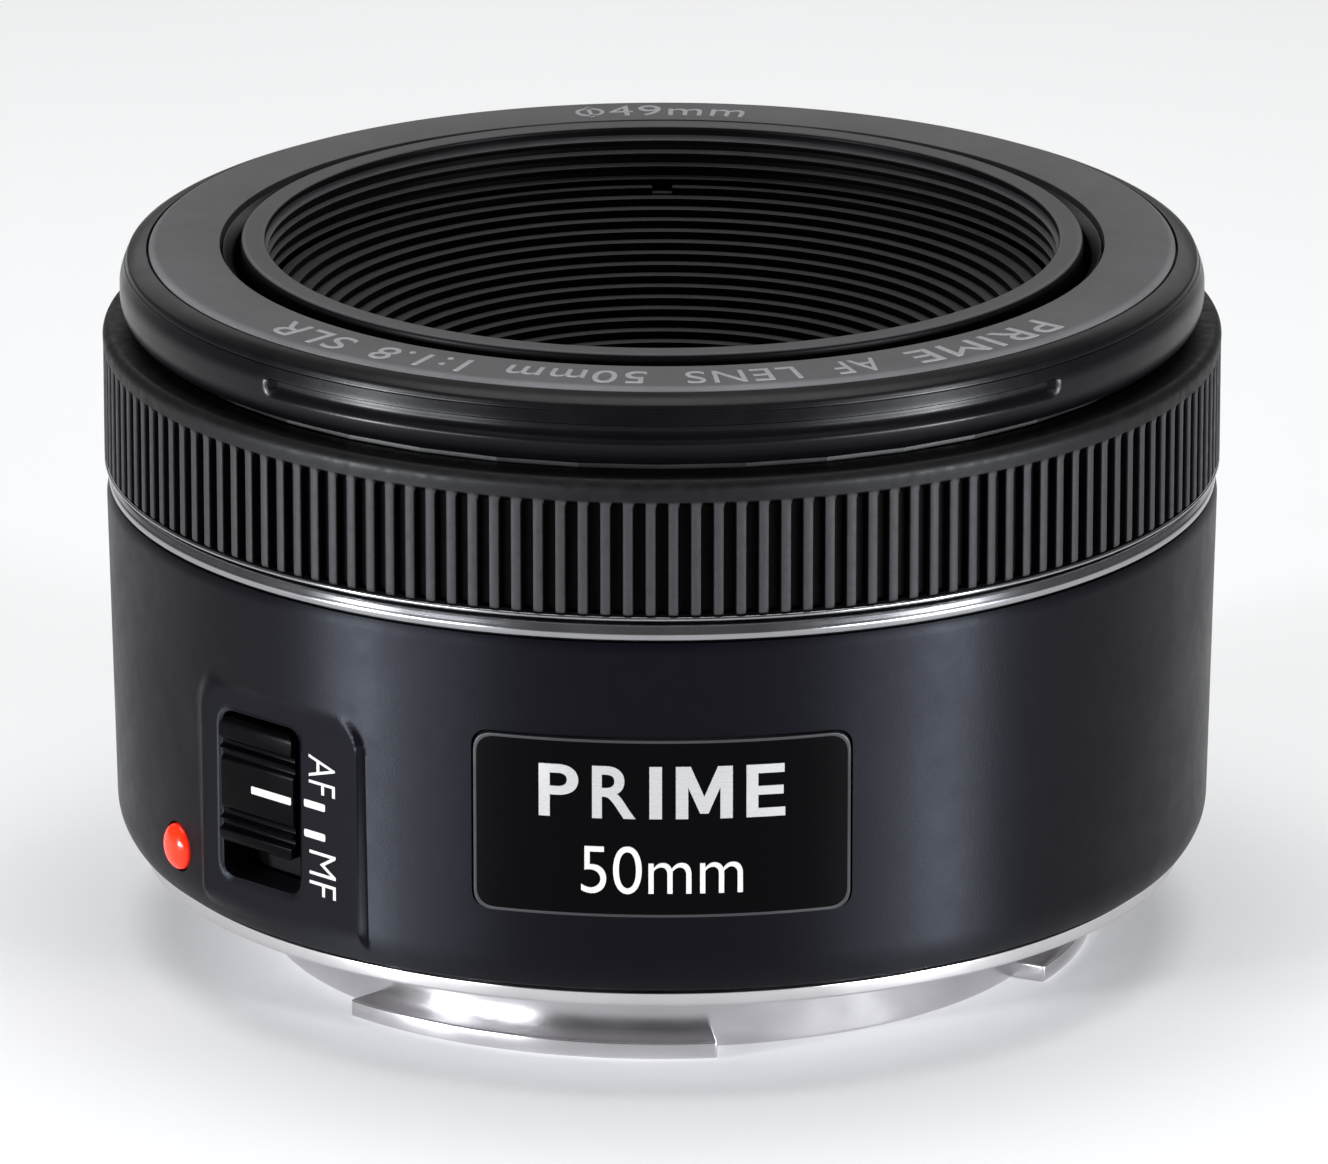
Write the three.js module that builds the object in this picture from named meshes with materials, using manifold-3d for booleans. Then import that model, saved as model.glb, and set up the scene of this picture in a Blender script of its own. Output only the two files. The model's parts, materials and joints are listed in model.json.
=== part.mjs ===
// Prime camera lens, 50 mm f/1.8, as an assembly of separate pieces.
//
// Millimetres, +Z from the mount towards the front. The origin is on the optical axis at the
// rear end of the bayonet. Angles round the lens are in degrees, counted from the nameplate,
// which faces -Y, and positive towards +X. Every profile is a list of [radius, height] points.

import * as THREE from 'three';
import { mergeVertices } from 'three/addons/utils/BufferGeometryUtils.js';
import Module from 'manifold-3d';

const wasm = await Module();
wasm.setup();

// ---- Driving dimensions -------------------------------------------------------------------

const gap = 0.3;                 // clearance between neighbouring pieces
const registerHeight = 5.4;      // the flange's seat on the camera
const flangeRadius = 32.5;
const flangeThickness = 0.9;
const spigotRadius = 31.1;       // the flange's step that centres it in the shell
const spigotHeight = 1.3;
const lockHole = { angle: 70, radius: 1.5 };
const bayonetRadius = 24.7;
const bayonetBore = 22.4;
const tabRadius = 26.9;
const tabThickness = 1.1;
const tabWidth = 52.4;           // degrees
const tabCentres = [-19, 87.6, 214.1];

const shellInside = 32.2;        // inside radius of the outer barrel
const shellLip = 31.7;           // inside radius of its rear lip
const shellLipHeight = 1.8;
const shellRadius = 34.45;       // outside radius at its front
const shellDraft = 0.45;         // how much slimmer it is at the rear
const shellTop = registerHeight + 23.55;
const shellBottom = registerHeight + flangeThickness + gap;

const trimHeight = 0.8;
const trimRadius = 34.35;
const focusRadius = 34.6;
const focusInside = 32.3;
const focusHeight = 8.85;
const trimBottom = shellTop + gap;
const focusBottom = trimBottom + trimHeight + gap;
const focusTop = focusBottom + focusHeight;
const ribCount = 160;
const ribDepth = 0.5;
const ribInset = 0.1;            // the ribs stand this much behind the lips above and below them
const footHeight = 0.75;         // plain band under the ribs
const lipHeight = 1.3;           // plain band above them
const lipSlope = 0.45;           // how far the top of that band leans in

const frontRingRadius = 33.5;
const frontRingInside = 26.5;
const faceHeight = registerHeight + 38.75;
const faceInside = 27.3;
const faceOutside = 31.55;
const faceSeatDepth = 1.25;      // the recess that holds the face ring
const crown = [[0, 2.5], [0.2, 1.75], [0.45, 0.95], [0.85, 0.35], [1.4, 0.07]]; // [inset, drop]
const hoodGroove = { halfAngle: 45.2, bottom: registerHeight + 35.9, height: 0.95, depth: 0.7 };

const filterOutside = 26.0;
const filterInside = 24.5;
const filterBottom = 26.3;
const threadCrest = 24.1;
const threadPitch = 0.75;
const threadTurns = 4;
const rimHeight = registerHeight + 39.3;
const baffleSteps = 16;
const baffleTop = { radius: 23.9, height: registerHeight + 35.3 };
const baffleBottom = { radius: 12.6, height: registerHeight + 26.85 };
const baffleWall = 0.7;

const plateHalfWidth = 11.3;     // nameplate
const plateBottom = registerHeight + 6.4;
const plateTop = registerHeight + 17.55;
const plateRadius = 34.5;
const plateThickness = 0.9;
const plateCorner = 1.2;

const padAngle = -42.8;          // switch pad, a flat on the side of the shell
const padDistance = 34.05;       // from the optical axis to the flat
const padHalfWidth = 6.5;
const padBottom = registerHeight + 2.8;
const padTop = registerHeight + 16.8;
const padCorner = 1.9;
const slotOffset = -1.72;        // from the pad's centre line to the slot's
const slotWidth = 6.5;
const slotCorner = 0.9;
const slotBottom = registerHeight + 4.75;
const slotHeight = 10.6;
const switchTravel = 1.9;
const knobBase = 31.3;           // distances from the optical axis
const knobFace = 34.45;
const gripOffsets = [-2.6, -1.7, 1.7, 2.6]; // finger grooves, from the knob's middle
const gripWidth = 0.4;
const gripFloor = 33.85;
const detentPlate = { bottom: 30.4, top: 31.0, margin: 1.5 };

const dotAngle = -60.6;
const dotHeight = registerHeight + 4.85;
const dotRadius = 1.5;
const dotRim = 34.0;
const dotCrown = 34.7;

const focusTravel = 7.5;         // how far the optics come forward
const camTurn = 75;              // degrees of cam ring for the whole travel
const pinHeight = 12.6;          // guide pins at rest
const pinRadius = 0.8;
const pinAngles = [60, 180, 300];
const guideInside = 22.3;        // guide tube of the fixed barrel
const guideOutside = 23.5;
const camInside = 23.9;
const camOutside = 25.6;
const tubeInside = 20.6;         // lens barrel
const tubeOutside = 21.9;
const flangeOfTube = 24.4;       // height of the lens barrel's flange
const webHeight = 22.5;          // underside of the fixed barrel's web
const webThickness = 1.5;
const guideBottom = 9.2;
const postBottom = 7.9;
const screwHole = { radius: 1.1, end: 12.5 }; // in each post
const sensor = { angle: 75, halfWidth: 1.8, bottom: 31.4, top: 34.6, inside: 29 };

const gearModule = 0.4;
const camGearTeeth = 132;        // of a full circle
const idlerTeeth = 12;
const pinionTeeth = 8;
const irisGearTeeth = 78;        // of a full circle
const trainHeight = 9.7;         // underside of the focus gear train
const trainThickness = 1.5;
const idlerAngle = 152;
const motorDistance = 29.2;      // focus motor's axis from the optical axis
const motorRadius = 2.5;

const postAngles = [15, 105, 195, 285];
const postDistance = 29.2;       // mount screws and the posts that they enter
const postRadius = 2.1;

const bladeCount = 7;
const bladePivotDistance = 17.0;
const bladeInside = 11.0;
const bladeOutside = 15.8;
const bladeSpan = 76;            // degrees
const bladeThickness = 0.15;
const bladeLevel = 15.0;         // underside of the lowest blade
const pivotPinRadius = 0.4;
const irisFloor = { bottom: 13.4, top: 13.9 };
const irisTop = 17.6;
const irisRingHeight = 14.2;
const irisRingThickness = 0.5;
const irisPinionAngle = 26;
const irisMotor = { radius: 2.8, bottom: 9.5 };
const shaftRadius = 0.5;
const shaftHole = 0.85;
const shaftSegments = 8;
const motorSegments = 16;

const contactCount = 7;
const contactAngle = 180;
const contactHalfWidth = 36;     // degrees
const contactDistance = 20.0;
const contactSpacing = 7;        // degrees
const contactRadius = 0.75;
const blockInside = 16.8;
const blockTop = 4.6;
const blockScrewAngles = [contactAngle - 30, contactAngle + 30];
const blockScrewDistance = 19.4;

const beyond = 38;               // a radius outside the whole lens, for cutters

const outerSegments = 40;
const innerSegments = 24;
const smallSegments = 10;

// ---- Materials ----------------------------------------------------------------------------

const looks = {
  shell: { color: 0x131116, roughness: 0.45, metalness: 0.0 },
  satin: { color: 0x1a191d, roughness: 0.4, metalness: 0.0 },
  face: { color: 0x2c2a2d, roughness: 0.6, metalness: 0.0 },
  gloss: { color: 0x08080a, roughness: 0.12, metalness: 0.0 },
  matte: { color: 0x0b0b0c, roughness: 0.9, metalness: 0.0 },
  trim: { color: 0x55555a, roughness: 0.2, metalness: 0.8 },
  steel: { color: 0xc9c8cb, roughness: 0.25, metalness: 1.0 },
  screw: { color: 0x8d8e92, roughness: 0.35, metalness: 1.0 },
  gold: { color: 0xd9a441, roughness: 0.25, metalness: 1.0 },
  red: { color: 0xe8220f, roughness: 0.25, metalness: 0.0 },
  glass: { color: 0x9fb4c8, roughness: 0.02, metalness: 0.0, transparent: true, opacity: 0.35 },
  board: { color: 0x1d5a36, roughness: 0.5, metalness: 0.0 },
  brass: { color: 0xb8923f, roughness: 0.35, metalness: 1.0 },
  blade: { color: 0x1c1c20, roughness: 0.55, metalness: 0.4 },
  white: { color: 0xe4e2dc, roughness: 0.5, metalness: 0.0 },
};

// ---- Solids: closing, joining and cutting ---------------------------------------------------

const lens = new THREE.Group();

function signedVolume(position, index) {
  const [a, b, c] = [new THREE.Vector3(), new THREE.Vector3(), new THREE.Vector3()];
  let volume = 0;
  for (let i = 0; i < index.length; i += 3) {
    a.fromBufferAttribute(position, index[i]);
    b.fromBufferAttribute(position, index[i + 1]);
    c.fromBufferAttribute(position, index[i + 2]);
    volume += a.dot(b.cross(c)) / 6;
  }
  return volume;
}

function withoutSlivers(index) {
  const kept = [];
  for (let i = 0; i < index.length; i += 3) {
    const [a, b, c] = [index[i], index[i + 1], index[i + 2]];
    if (a !== b && b !== c && c !== a) kept.push(a, b, c);
  }
  return kept;
}

function toSolid(shape) {
  const bare = shape.clone();
  bare.deleteAttribute('normal');
  bare.deleteAttribute('uv');
  const merged = mergeVertices(bare, 1e-4);
  const index = withoutSlivers(merged.index.array);
  const position = merged.getAttribute('position');
  if (signedVolume(position, index) < 0) index.reverse();
  return new wasm.Manifold(new wasm.Mesh({
    numProp: 3,
    vertProperties: new Float32Array(position.array),
    triVerts: new Uint32Array(index),
  }));
}

function toShape(solid) {
  const { vertProperties, triVerts } = solid.getMesh();
  const shape = new THREE.BufferGeometry();
  shape.setAttribute('position', new THREE.BufferAttribute(vertProperties, 3));
  shape.setIndex(new THREE.BufferAttribute(triVerts, 1));
  return shape;
}

function join(...shapes) {
  return toShape(shapes.map(toSolid).reduce((whole, next) => whole.add(next)));
}

function cut(shape, ...tools) {
  return toShape(tools.map(toSolid).reduce((rest, tool) => rest.subtract(tool), toSolid(shape)));
}

function common(shape, other) {
  return toShape(toSolid(shape).intersect(toSolid(other)));
}

function add(name, shape, look) {
  const closed = toShape(toSolid(shape)).toNonIndexed();
  closed.computeVertexNormals();
  const mesh = new THREE.Mesh(closed, new THREE.MeshStandardMaterial(looks[look]));
  mesh.name = name;
  lens.add(mesh);
}

// ---- Basic shapes ---------------------------------------------------------------------------

const radians = THREE.MathUtils.degToRad;

// The point at an angle round the lens and a distance from the axis.
function around(angle, distance) {
  return [distance * Math.sin(radians(angle)), -distance * Math.cos(radians(angle))];
}

// A profile of [radius, height] points turned about the optical axis.
function revolve(profile, segments = innerSegments) {
  const points = [...profile, profile[0]].map(([radius, height]) => new THREE.Vector2(radius, height));
  return new THREE.LatheGeometry(points, segments).rotateX(Math.PI / 2);
}

function ring(inside, outside, bottom, top, segments = innerSegments) {
  return revolve([[inside, bottom], [outside, bottom], [outside, top], [inside, top]], segments);
}

function rod(radius, bottom, top, segments = smallSegments) {
  const shape = new THREE.CylinderGeometry(radius, radius, top - bottom, segments);
  return shape.rotateX(Math.PI / 2).translate(0, 0, (top + bottom) / 2);
}

function placed(shape, angle, distance) {
  const [x, y] = around(angle, distance);
  return shape.translate(x, y, 0);
}

// A shape drawn along +Z turned to point away from the axis at an angle and a height.
function radial(shape, angle, height) {
  return shape.rotateX(Math.PI / 2).rotateZ(radians(angle)).translate(0, 0, height);
}

function prism(outline, bottom, top, holes = []) {
  const shape = new THREE.Shape(outline.map(([x, y]) => new THREE.Vector2(x, y)));
  shape.holes = holes.map((hole) => new THREE.Path(hole.map(([x, y]) => new THREE.Vector2(x, y))));
  const depth = top - bottom;
  return new THREE.ExtrudeGeometry(shape, { depth, bevelEnabled: false }).translate(0, 0, bottom);
}

function arc(radius, from, to, steps) {
  return Array.from({ length: steps + 1 }, (_, i) => around(from + ((to - from) * i) / steps, radius));
}

function circle(radius, points) {
  return arc(radius, 0, 360, points).slice(0, -1);
}

function sector(inside, outside, from, to, bottom, top) {
  const steps = Math.max(2, Math.ceil((to - from) / 8));
  return prism([...arc(outside, from, to, steps), ...arc(inside, to, from, steps)], bottom, top);
}

function roundedRectangle(left, right, bottom, top, radius, steps = 3) {
  const corners = [
    [right - radius, top - radius, 0],
    [left + radius, top - radius, 90],
    [left + radius, bottom + radius, 180],
    [right - radius, bottom + radius, 270],
  ];
  return corners.flatMap(([x, y, start]) => Array.from({ length: steps + 1 }, (_, i) => {
    const turn = radians(start + (90 * i) / steps);
    return [x + radius * Math.cos(turn), y + radius * Math.sin(turn)];
  }));
}

// An outline of [across, height] points on the side of the lens, pushed out from near to far.
function sidePrism(outline, angle, near, far) {
  return prism(outline.map(([x, y]) => [x, y]), near, far).rotateX(Math.PI / 2).rotateZ(radians(angle));
}

// A slot that climbs as it goes round: the space between two radii, of a given half height.
function helicalCutter(inside, outside, halfHeight, path, steps = 8) {
  const positions = [];
  const index = [];
  for (let i = 0; i <= steps; i += 1) {
    const { angle, height } = path(i / steps);
    const section = [
      [inside, -halfHeight],
      [outside, -halfHeight],
      [outside, halfHeight],
      [inside, halfHeight],
    ];
    for (const [radius, rise] of section) positions.push(...around(angle, radius), height + rise);
  }
  for (let i = 0; i < steps; i += 1) {
    for (let side = 0; side < 4; side += 1) {
      const [a, b] = [4 * i + side, 4 * i + ((side + 1) % 4)];
      index.push(a, b, b + 4, a, b + 4, a + 4);
    }
  }
  const last = 4 * steps;
  index.push(0, 2, 1, 0, 3, 2, last, last + 1, last + 2, last, last + 2, last + 3);
  const shape = new THREE.BufferGeometry();
  shape.setAttribute('position', new THREE.Float32BufferAttribute(positions, 3));
  shape.setIndex(index);
  return shape;
}

// ---- Gears ----------------------------------------------------------------------------------

const pitchRadius = (teeth) => (gearModule * teeth) / 2;
const tipRadius = (teeth) => pitchRadius(teeth) + 0.8 * gearModule;
const rootRadius = (teeth) => pitchRadius(teeth) - 1.1 * gearModule;

// Four corners of one tooth, as [angle, radius], for a gear with the given number of teeth.
function tooth(teeth, centre) {
  const pitch = 360 / teeth;
  return [
    [centre - 0.28 * pitch, rootRadius(teeth)],
    [centre - 0.1 * pitch, tipRadius(teeth)],
    [centre + 0.1 * pitch, tipRadius(teeth)],
    [centre + 0.28 * pitch, rootRadius(teeth)],
  ];
}

function gear(teeth, phase, bottom, top) {
  const outline = Array.from({ length: teeth }, (_, i) => tooth(teeth, phase + (360 * i) / teeth));
  return prism(outline.flat().map(([angle, radius]) => around(angle, radius)), bottom, top);
}

// A toothed sector on a ring, with one tooth centred on meshAngle.
function gearSector(teeth, inside, meshAngle, from, to, bottom, top) {
  const pitch = 360 / teeth;
  const first = Math.ceil((from - meshAngle) / pitch);
  const last = Math.floor((to - meshAngle) / pitch);
  const corners = [];
  for (let i = first; i <= last; i += 1) corners.push(...tooth(teeth, meshAngle + i * pitch));
  const start = corners[0][0];
  const end = corners[corners.length - 1][0];
  const outline = corners.map(([angle, radius]) => around(angle, radius));
  return prism([...outline, ...arc(inside, end, start, 12)], bottom, top);
}

// The phase that puts a gear's gap opposite the tooth of the gear that drives it. Direction is
// the angle from the driver's centre to the driven gear's.
function meshedPhase(driverTeeth, driverPhase, direction, teeth) {
  const driverPitch = 360 / driverTeeth;
  const past = (direction - driverPhase) / driverPitch;
  return direction + 180 - ((0.5 - past) * 360) / teeth;
}

const idlerDistance = pitchRadius(camGearTeeth) + pitchRadius(idlerTeeth);
const trainSpacing = pitchRadius(idlerTeeth) + pitchRadius(pinionTeeth);
const trainCosine = (idlerDistance ** 2 + motorDistance ** 2 - trainSpacing ** 2)
  / (2 * idlerDistance * motorDistance);
const motorAngle = idlerAngle + THREE.MathUtils.radToDeg(Math.acos(trainCosine));

function directionBetween([x1, y1], [x2, y2]) {
  return THREE.MathUtils.radToDeg(Math.atan2(x2 - x1, -(y2 - y1)));
}

// ---- Mount ----------------------------------------------------------------------------------

function screw(headRadius, headBottom, headHeight, shankRadius, shankTop) {
  const body = revolve([
    [0, headBottom],
    [headRadius, headBottom],
    [shankRadius, headBottom + headHeight],
    [shankRadius, shankTop],
    [0, shankTop],
  ], smallSegments);
  const [crossLength, crossWidth, crossDepth] = [headRadius * 1.2, 0.4, 0.4];
  const slot = new THREE.BoxGeometry(crossLength, crossWidth, 2 * crossDepth).translate(0, 0, headBottom);
  return cut(body, slot, slot.clone().rotateZ(Math.PI / 2));
}

function bayonetMount() {
  const flangeTop = registerHeight + flangeThickness;
  const relief = tabRadius + 0.5;
  const bevel = 0.3;
  const spigotTop = flangeTop + spigotHeight;
  const body = revolve([
    [bayonetBore, bevel],
    [bayonetBore + bevel, 0],
    [bayonetRadius, 0],
    [bayonetRadius, registerHeight + gap],
    [relief, registerHeight + gap],
    [relief, registerHeight],
    [flangeRadius, registerHeight],
    [flangeRadius, flangeTop],
    [spigotRadius, flangeTop],
    [spigotRadius, spigotTop],
    [bayonetBore, spigotTop],
  ], outerSegments);
  const tabs = tabCentres.map((centre) => sector(
    bayonetRadius - 0.4, tabRadius, centre - tabWidth / 2, centre + tabWidth / 2, 0, tabThickness));
  const head = { radius: 1.85, height: 1.05, shank: 0.8, end: 12 };
  const countersunk = [
    [0, registerHeight - 0.5],
    [head.radius + 0.85, registerHeight - 0.5],
    [head.shank + 0.4, registerHeight + 1.0],
    [head.shank + 0.4, spigotTop + 1],
    [0, spigotTop + 1],
  ];
  const holes = postAngles.map((angle) => placed(revolve(countersunk, smallSegments), angle, postDistance));
  const lockPin = rod(lockHole.radius, registerHeight - 1, spigotTop + 1);
  const pinHole = placed(lockPin, lockHole.angle, postDistance);
  add('bayonet_mount', cut(join(body, ...tabs), ...holes, pinHole), 'steel');
  postAngles.forEach((angle, i) => {
    const shape = screw(head.radius, registerHeight + 0.15, head.height, head.shank, head.end);
    add(`mount_screw_${i + 1}`, placed(shape, angle, postDistance), 'screw');
  });
}

function rearCover() {
  const outside = bayonetBore - gap;
  const inside = 15.2;
  const [rim, rimBottom, floor, back] = [21.2, 0.7, 2.4, 3.6];
  const profile = [
    [inside, floor],
    [rim - 0.3, floor],
    [rim, rimBottom],
    [outside, rimBottom],
    [outside, back],
    [inside, back],
  ];
  const margin = 2; // degrees
  const forBlock = sector(blockInside - 0.5, outside + 2, contactAngle - contactHalfWidth - margin,
    contactAngle + contactHalfWidth + margin, 0, blockTop);
  add('rear_cover', cut(revolve(profile, outerSegments), forBlock), 'matte');
}

function contacts() {
  const blockBottom = 0.5;
  const [pinBottom, pinTop] = [0.35, 1.5];
  const head = { radius: 1.2, bottom: 0.9, height: 0.8, shank: 0.55, end: 5.2 };
  const block = sector(blockInside, bayonetBore - gap - 0.2, contactAngle - contactHalfWidth,
    contactAngle + contactHalfWidth, blockBottom, blockTop);
  const pinAngleOf = (i) => contactAngle + (i - (contactCount - 1) / 2) * contactSpacing;
  const angles = Array.from({ length: contactCount }, (_, i) => pinAngleOf(i));
  const pockets = angles.map((angle) => placed(
    rod(contactRadius + gap, -1, pinTop + gap), angle, contactDistance));
  const [boreRadius, boreDepth, shankHole] = [head.radius + 0.4, 2.2, head.shank + 0.35];
  const counterbored = [[0, -1], [boreRadius, -1], [boreRadius, boreDepth], [shankHole, boreDepth],
    [shankHole, blockTop + 1], [0, blockTop + 1]];
  const screwHoles = blockScrewAngles.map((angle) => placed(
    revolve(counterbored, smallSegments), angle, blockScrewDistance));
  add('contact_block', cut(block, ...pockets, ...screwHoles), 'matte');
  angles.forEach((angle, i) => {
    const pin = rod(contactRadius, pinBottom, pinTop);
    add(`contact_pin_${i + 1}`, placed(pin, angle, contactDistance), 'gold');
  });
  blockScrewAngles.forEach((angle, i) => {
    const shape = screw(head.radius, head.bottom, head.height, head.shank, head.end);
    add(`contact_screw_${i + 1}`, placed(shape, angle, blockScrewDistance), 'screw');
  });
}

function mainBoard() {
  const [inside, outside, bottom, top] = [14.6, 26.7, 8.0, 8.8];
  const [chipThickness, chipDistance] = [1.2, 18.4];
  const chips = [
    { angle: 60, width: 6, depth: 6 },
    { angle: 100, width: 4, depth: 3 },
    { angle: -60, width: 5, depth: 4 },
    { angle: -100, width: 3, depth: 3 },
  ];
  const parts = chips.map(({ angle, width, depth }) => {
    const chip = new THREE.BoxGeometry(width, depth, chipThickness).rotateZ(radians(angle));
    return placed(chip.translate(0, 0, bottom - 0.4), angle, chipDistance);
  });
  add('main_board', join(ring(inside, outside, bottom, top), ...parts), 'board');
}

// ---- Shell ----------------------------------------------------------------------------------

function padOutline() {
  return roundedRectangle(-padHalfWidth, padHalfWidth, padBottom, padTop, padCorner);
}

function slotOutline(grow = 0, bottom = slotBottom, top = slotBottom + slotHeight) {
  const half = slotWidth / 2 + grow;
  return roundedRectangle(slotOffset - half, slotOffset + half, bottom - grow, top + grow, slotCorner);
}

function plateOutline(grow = 0) {
  const half = plateHalfWidth + grow;
  return roundedRectangle(-half, half, plateBottom - grow, plateTop + grow, plateCorner);
}

function outerBarrel() {
  const rearRadius = shellRadius - shellDraft;
  const shell = revolve([
    [shellLip, shellBottom],
    [rearRadius - 1.4, shellBottom],
    [rearRadius - 0.8, shellBottom + 0.2],
    [rearRadius - 0.25, shellBottom + 0.7],
    [rearRadius, shellBottom + 1.5],
    [shellRadius, shellTop - 0.4],
    [shellRadius - 0.3, shellTop],
    [shellInside, shellTop],
    [shellInside, shellBottom + shellLipHeight],
    [shellLip, shellBottom + shellLipHeight],
  ], outerSegments);
  const pad = sidePrism(padOutline(), padAngle, shellInside + 0.4, padDistance);
  const padFlat = sidePrism(padOutline(), padAngle, padDistance, beyond);
  const slot = sidePrism(slotOutline(), padAngle, knobBase - 2, beyond);
  const plateRecess = common(
    ring(plateRadius - plateThickness - gap, beyond, plateBottom - 2, plateTop + 2, outerSegments),
    sidePrism(plateOutline(gap), 0, frontRingInside, beyond),
  );
  const dotHole = radial(rod(dotRadius + gap, shellInside + 0.5, beyond), dotAngle, dotHeight);
  add('outer_barrel', cut(join(cut(shell, padFlat), pad), slot, plateRecess, dotHole), 'shell');
}

function namePlate() {
  const body = ring(
    plateRadius - plateThickness, plateRadius, plateBottom - 2, plateTop + 2, outerSegments);
  add('name_plate', common(body, sidePrism(plateOutline(), 0, frontRingInside, beyond)), 'gloss');
}

function mountIndexDot() {
  const base = shellInside + 0.8;
  const dome = revolve([
    [0, base],
    [dotRadius, base],
    [dotRadius, dotRim],
    [dotRadius * 0.85, dotRim + 0.35],
    [dotRadius * 0.5, dotCrown - 0.1],
    [0, dotCrown],
  ], smallSegments * 2);
  add('mount_index_dot', radial(dome, dotAngle, dotHeight), 'red');
}

function switchParts() {
  const { bottom, top, margin } = detentPlate;
  add('switch_plate', sidePrism(slotOutline(margin), padAngle, bottom, top), 'blade');
  const knobTop = slotBottom + slotHeight - gap;
  const knobBottom = slotBottom + gap + switchTravel;
  const outline = slotOutline(-gap, knobBottom - gap, knobTop + gap);
  const body = sidePrism(outline, padAngle, knobBase, knobFace);
  const middle = (knobTop + knobBottom) / 2;
  const grooves = gripOffsets.map((offset) => {
    const groove = new THREE.BoxGeometry(2 * slotWidth + padHalfWidth, gripWidth, beyond - gripFloor);
    return radial(groove.translate(0, 0, (beyond + gripFloor) / 2), padAngle, middle + offset);
  });
  add('switch_knob', cut(body, ...grooves), 'satin');
}

function trimRing() {
  const inside = shellInside + 0.2;
  add('trim_ring', revolve([
    [inside, trimBottom],
    [trimRadius - 0.1, trimBottom],
    [trimRadius, trimBottom + 0.3],
    [trimRadius - 0.3, trimBottom + trimHeight],
    [inside, trimBottom + trimHeight],
  ], outerSegments), 'trim');
}

// ---- Focus ring -----------------------------------------------------------------------------

function focusRing() {
  const ribBottom = focusBottom + footHeight;
  const ribTop = focusTop - lipHeight;
  const ribRoot = focusRadius - ribDepth;
  const foot = revolve([
    [focusInside, focusBottom],
    [focusRadius - 0.1, focusBottom],
    [focusRadius, ribBottom],
    [focusInside, ribBottom],
  ], outerSegments);
  const lip = revolve([
    [focusInside, ribTop],
    [focusRadius, ribTop],
    [focusRadius, focusTop - lipSlope],
    [focusRadius - lipSlope, focusTop],
    [focusInside, focusTop],
  ], outerSegments);
  const outline = Array.from({ length: 2 * ribCount }, (_, i) => around(
    (180 * i) / ribCount, i % 2 ? ribRoot : focusRadius - ribInset));
  const ribs = prism(outline, ribBottom - 0.1, ribTop + 0.1, [circle(focusInside, outerSegments)]);
  add('focus_ring', join(foot, ribs, lip), 'satin');
}

// ---- Front ----------------------------------------------------------------------------------

function frontRing() {
  const bottom = focusTop + 2 * gap;
  const floor = faceHeight - faceSeatDepth;
  const body = revolve([
    [frontRingInside, bottom],
    [frontRingRadius - 0.5, bottom],
    [frontRingRadius - 0.2, bottom + 0.4],
    [frontRingRadius, bottom + 1.1],
    ...crown.map(([inset, drop]) => [frontRingRadius - inset, faceHeight - drop]),
    [faceOutside + gap, faceHeight],
    [faceOutside + gap, floor],
    [faceInside - gap, floor],
    [faceInside - gap, faceHeight - 0.05],
    [frontRingInside, faceHeight - 0.45],
  ], outerSegments);
  const { halfAngle, bottom: grooveBottom, height, depth } = hoodGroove;
  const grooves = [0, 180].map((centre) => sector(frontRingRadius - depth, beyond,
    centre - halfAngle, centre + halfAngle, grooveBottom, grooveBottom + height));
  add('front_ring', cut(body, ...grooves), 'satin');
  add('front_face_ring', ring(faceInside, faceOutside, floor + gap, faceHeight, outerSegments), 'face');
}

function filterBarrel() {
  const rimInside = filterInside + 0.36;
  const threadTop = rimHeight - 1.1;
  const thread = Array.from({ length: threadTurns }, (_, i) => {
    const crest = threadTop - (i + 0.5) * threadPitch;
    return [
      [filterInside, crest + threadPitch / 2],
      [threadCrest, crest],
    ];
  }).flat();
  const threadEnd = threadTop - threadTurns * threadPitch;
  add('filter_barrel', revolve([
    [filterOutside, filterBottom],
    [filterOutside, rimHeight - 0.5],
    [filterOutside - 0.3, rimHeight - 0.1],
    [filterOutside - 0.6, rimHeight],
    [filterOutside - 0.9, rimHeight - 0.1],
    [rimInside, rimHeight - 0.5],
    [rimInside, rimHeight - 0.8],
    ...thread,
    [filterInside, threadEnd],
    [filterInside, filterBottom],
  ], outerSegments), 'satin');
}

function frontBaffle() {
  const floorWidth = 2.7;
  const rise = (baffleTop.height - baffleBottom.height) / baffleSteps;
  const run = (baffleTop.radius - baffleBottom.radius) / baffleSteps;
  const stairs = Array.from({ length: baffleSteps }, (_, i) => {
    const radius = baffleTop.radius - i * run;
    const height = baffleTop.height - i * rise;
    return [[radius, height], [radius, height - rise]];
  }).flat();
  add('front_baffle', revolve([
    ...stairs,
    [baffleBottom.radius, baffleBottom.height - baffleWall],
    [baffleBottom.radius + floorWidth, baffleBottom.height - baffleWall],
    [filterInside - gap, baffleTop.height - baffleWall],
    [filterInside - gap, baffleTop.height],
  ]), 'matte');
}

// ---- Glass and its holders --------------------------------------------------------------------

// Height of a spherical surface above its vertex. A positive radius bulges towards the front.
function sag(curvature, radius) {
  const depth = Math.abs(curvature) - Math.sqrt(curvature ** 2 - radius ** 2);
  return curvature > 0 ? -depth : depth;
}

const elements = [
  { front: 32.4, frontCurve: 34, rear: 28.2, rearCurve: 150, radius: 14.2 },
  { front: 27.8, frontCurve: 24, rear: 23.8, rearCurve: 40, radius: 12.2 },
  { front: 23.3, frontCurve: 38, rear: 21.7, rearCurve: 15.5, radius: 10.8 },
  { front: 10.6, frontCurve: -16, rear: 9.2, rearCurve: 60, radius: 10.2 },
  { front: 8.9, frontCurve: 60, rear: 4.6, rearCurve: -24, radius: 10.2 },
  { front: 4.2, frontCurve: 70, rear: 1.3, rearCurve: -45, radius: 10.5 },
];

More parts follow.
